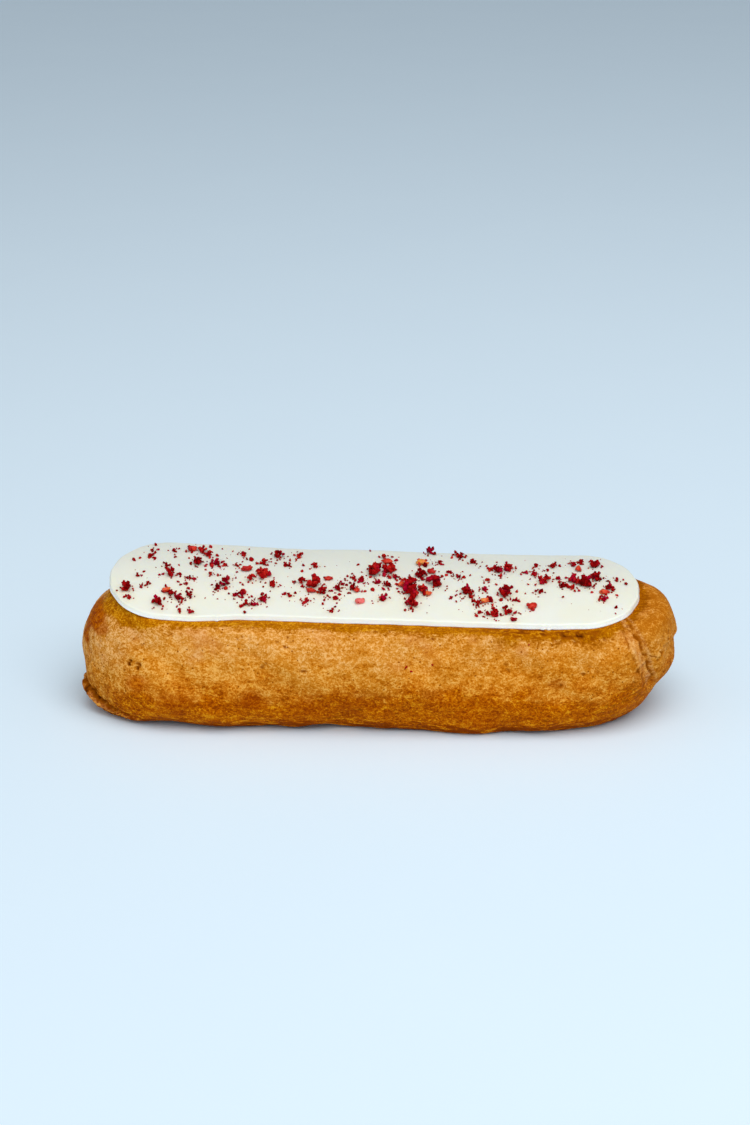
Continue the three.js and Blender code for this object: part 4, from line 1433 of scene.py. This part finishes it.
def scatter(heap, draw, count, largest, smallest, reach, anywhere):
    """Adds loose bits round the clumps and, for a share of them, anywhere."""
    for _ in range(count):
        size = largest * (smallest / largest) ** draw()
        if draw() < anywhere:
            at_along = (draw() * 2 - 1) * SPREAD["along"]
            at_across = SPREAD["front"] + SPREAD["deep"] * draw()
        else:
            centre = CLUMPS[int(draw() * len(CLUMPS))]
            around = draw() * 2 * math.pi
            away = centre[2] * 0.4 + reach * draw() ** 1.6
            at_along = centre[0] + away * math.cos(around)
            at_across = centre[1] + away * math.sin(around) * 0.9
        if not on_the_sheet(at_along, at_across):
            continue
        stretch = (1.0, 0.5 + 0.5 * draw(), 0.45 + 0.3 * draw())
        tint = 0.15 + 0.7 * draw()
        heap.add(above_icing(at_along, at_across, size * 0.2), size, stretch, 0.6, 2, draw, tint)


def stick_strays(heap, draw):
    """Adds the few crumbs that fell off the icing and stuck to the front of the crust."""
    for at_x, at_z, size in STRAYS:
        away = np.hypot(crust[..., 0] - at_x, crust[..., 2] - at_z)
        away = np.where(crust[..., 1] > 0, np.inf, away)
        place = crust.reshape(-1, 3)[np.argmin(away)]
        heap.add(place, size, (1.0, 0.6, 0.6), 0.5, 2, draw, 0.5)


speck_heap = Heap()
speck_draw = make_random(4242)
scatter(speck_heap, speck_draw, **SPECKS)
scatter(speck_heap, speck_draw, **DUST)
stick_strays(speck_heap, speck_draw)
specks_piece = speck_heap.build("raspberry_specks")

# %% [markdown]
# Dried raspberry is matt where it is broken and faintly glossy on its skin. Crumbs and
# specks share one finish, ruled by the colour number, and the pips have a smoother one. The
# icing's solid has the raspberry fused to it, so these pieces replace that node as well.

# %% Finish of the raspberry
def raspberry_finish():
    """The crumbs' material: black-crimson to bright red by the colour number."""
    material, tree, shader = new_material("raspberry_finish")
    plain = millimetres(tree)
    flesh = noise(tree, plain, 0.35, detail=4, roughness=0.6)
    level = calculate(tree, "ADD", stored(tree, "tint"), swing(tree, flesh, 0.9))
    colour = blend(tree, ramp(tree, level, 0.0, 0.5), (0.13, 0.0006, 0.0010), (0.34, 0.0022, 0.0032))
    colour = blend(tree, ramp(tree, level, 0.5, 1.05), colour, (0.66, 0.028, 0.018))
    magenta = ramp(tree, noise(tree, plain, 2.6, detail=2), 0.52, 0.66, 0, 0.75)
    colour = blend(tree, magenta, colour, (0.42, 0.001, 0.030))
    tree.links.new(colour, shader.inputs["Base Color"])
    set_inputs(shader, {"Roughness": 0.52, "Specular IOR Level": 0.03, "Specular Tint": (1.0, 0.45, 0.45, 1)})
    set_inputs(shader, {"Subsurface Weight": 0.1, "Subsurface Radius": (0.0006, 0.0001, 0.0001)})
    set_inputs(shader, {"Subsurface Scale": 1.0})
    bump(tree, shader, flesh, 0.08, 0.8)
    return material


def pip_finish():
    """The pips' material: red through orange to pink by the colour number."""
    material, tree, shader = new_material("pip_finish")
    plain = millimetres(tree)
    skin = noise(tree, plain, 0.5, detail=3)
    level = calculate(tree, "ADD", stored(tree, "tint"), swing(tree, skin, 0.5))
    colour = blend(tree, ramp(tree, level, 0.1, 0.5), (0.46, 0.005, 0.004), (0.64, 0.030, 0.010))
    colour = blend(tree, ramp(tree, level, 0.45, 0.8), colour, (0.76, 0.125, 0.026))
    colour = blend(tree, ramp(tree, level, 0.8, 1.0), colour, (0.79, 0.29, 0.045))
    colour = blend(tree, ramp(tree, level, 1.2, 1.35), colour, (0.86, 0.16, 0.15))
    tree.links.new(colour, shader.inputs["Base Color"])
    set_inputs(shader, {"Roughness": 0.36, "Specular IOR Level": 0.25, "Subsurface Weight": 0.2})
    set_inputs(shader, {"Subsurface Radius": (0.0008, 0.0003, 0.0002), "Subsurface Scale": 1.0})
    bump(tree, shader, skin, 0.06, 0.6)
    return material


crumb_material = raspberry_finish()
for piece, material, slot in (
    (crumbs_piece, crumb_material, "raspberry"),
    (specks_piece, crumb_material, "raspberry"),
    (pips_piece, pip_finish(), "pip"),
):
    piece.data.materials.append(material)
    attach(piece, "root")
    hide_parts("icing_sheet")
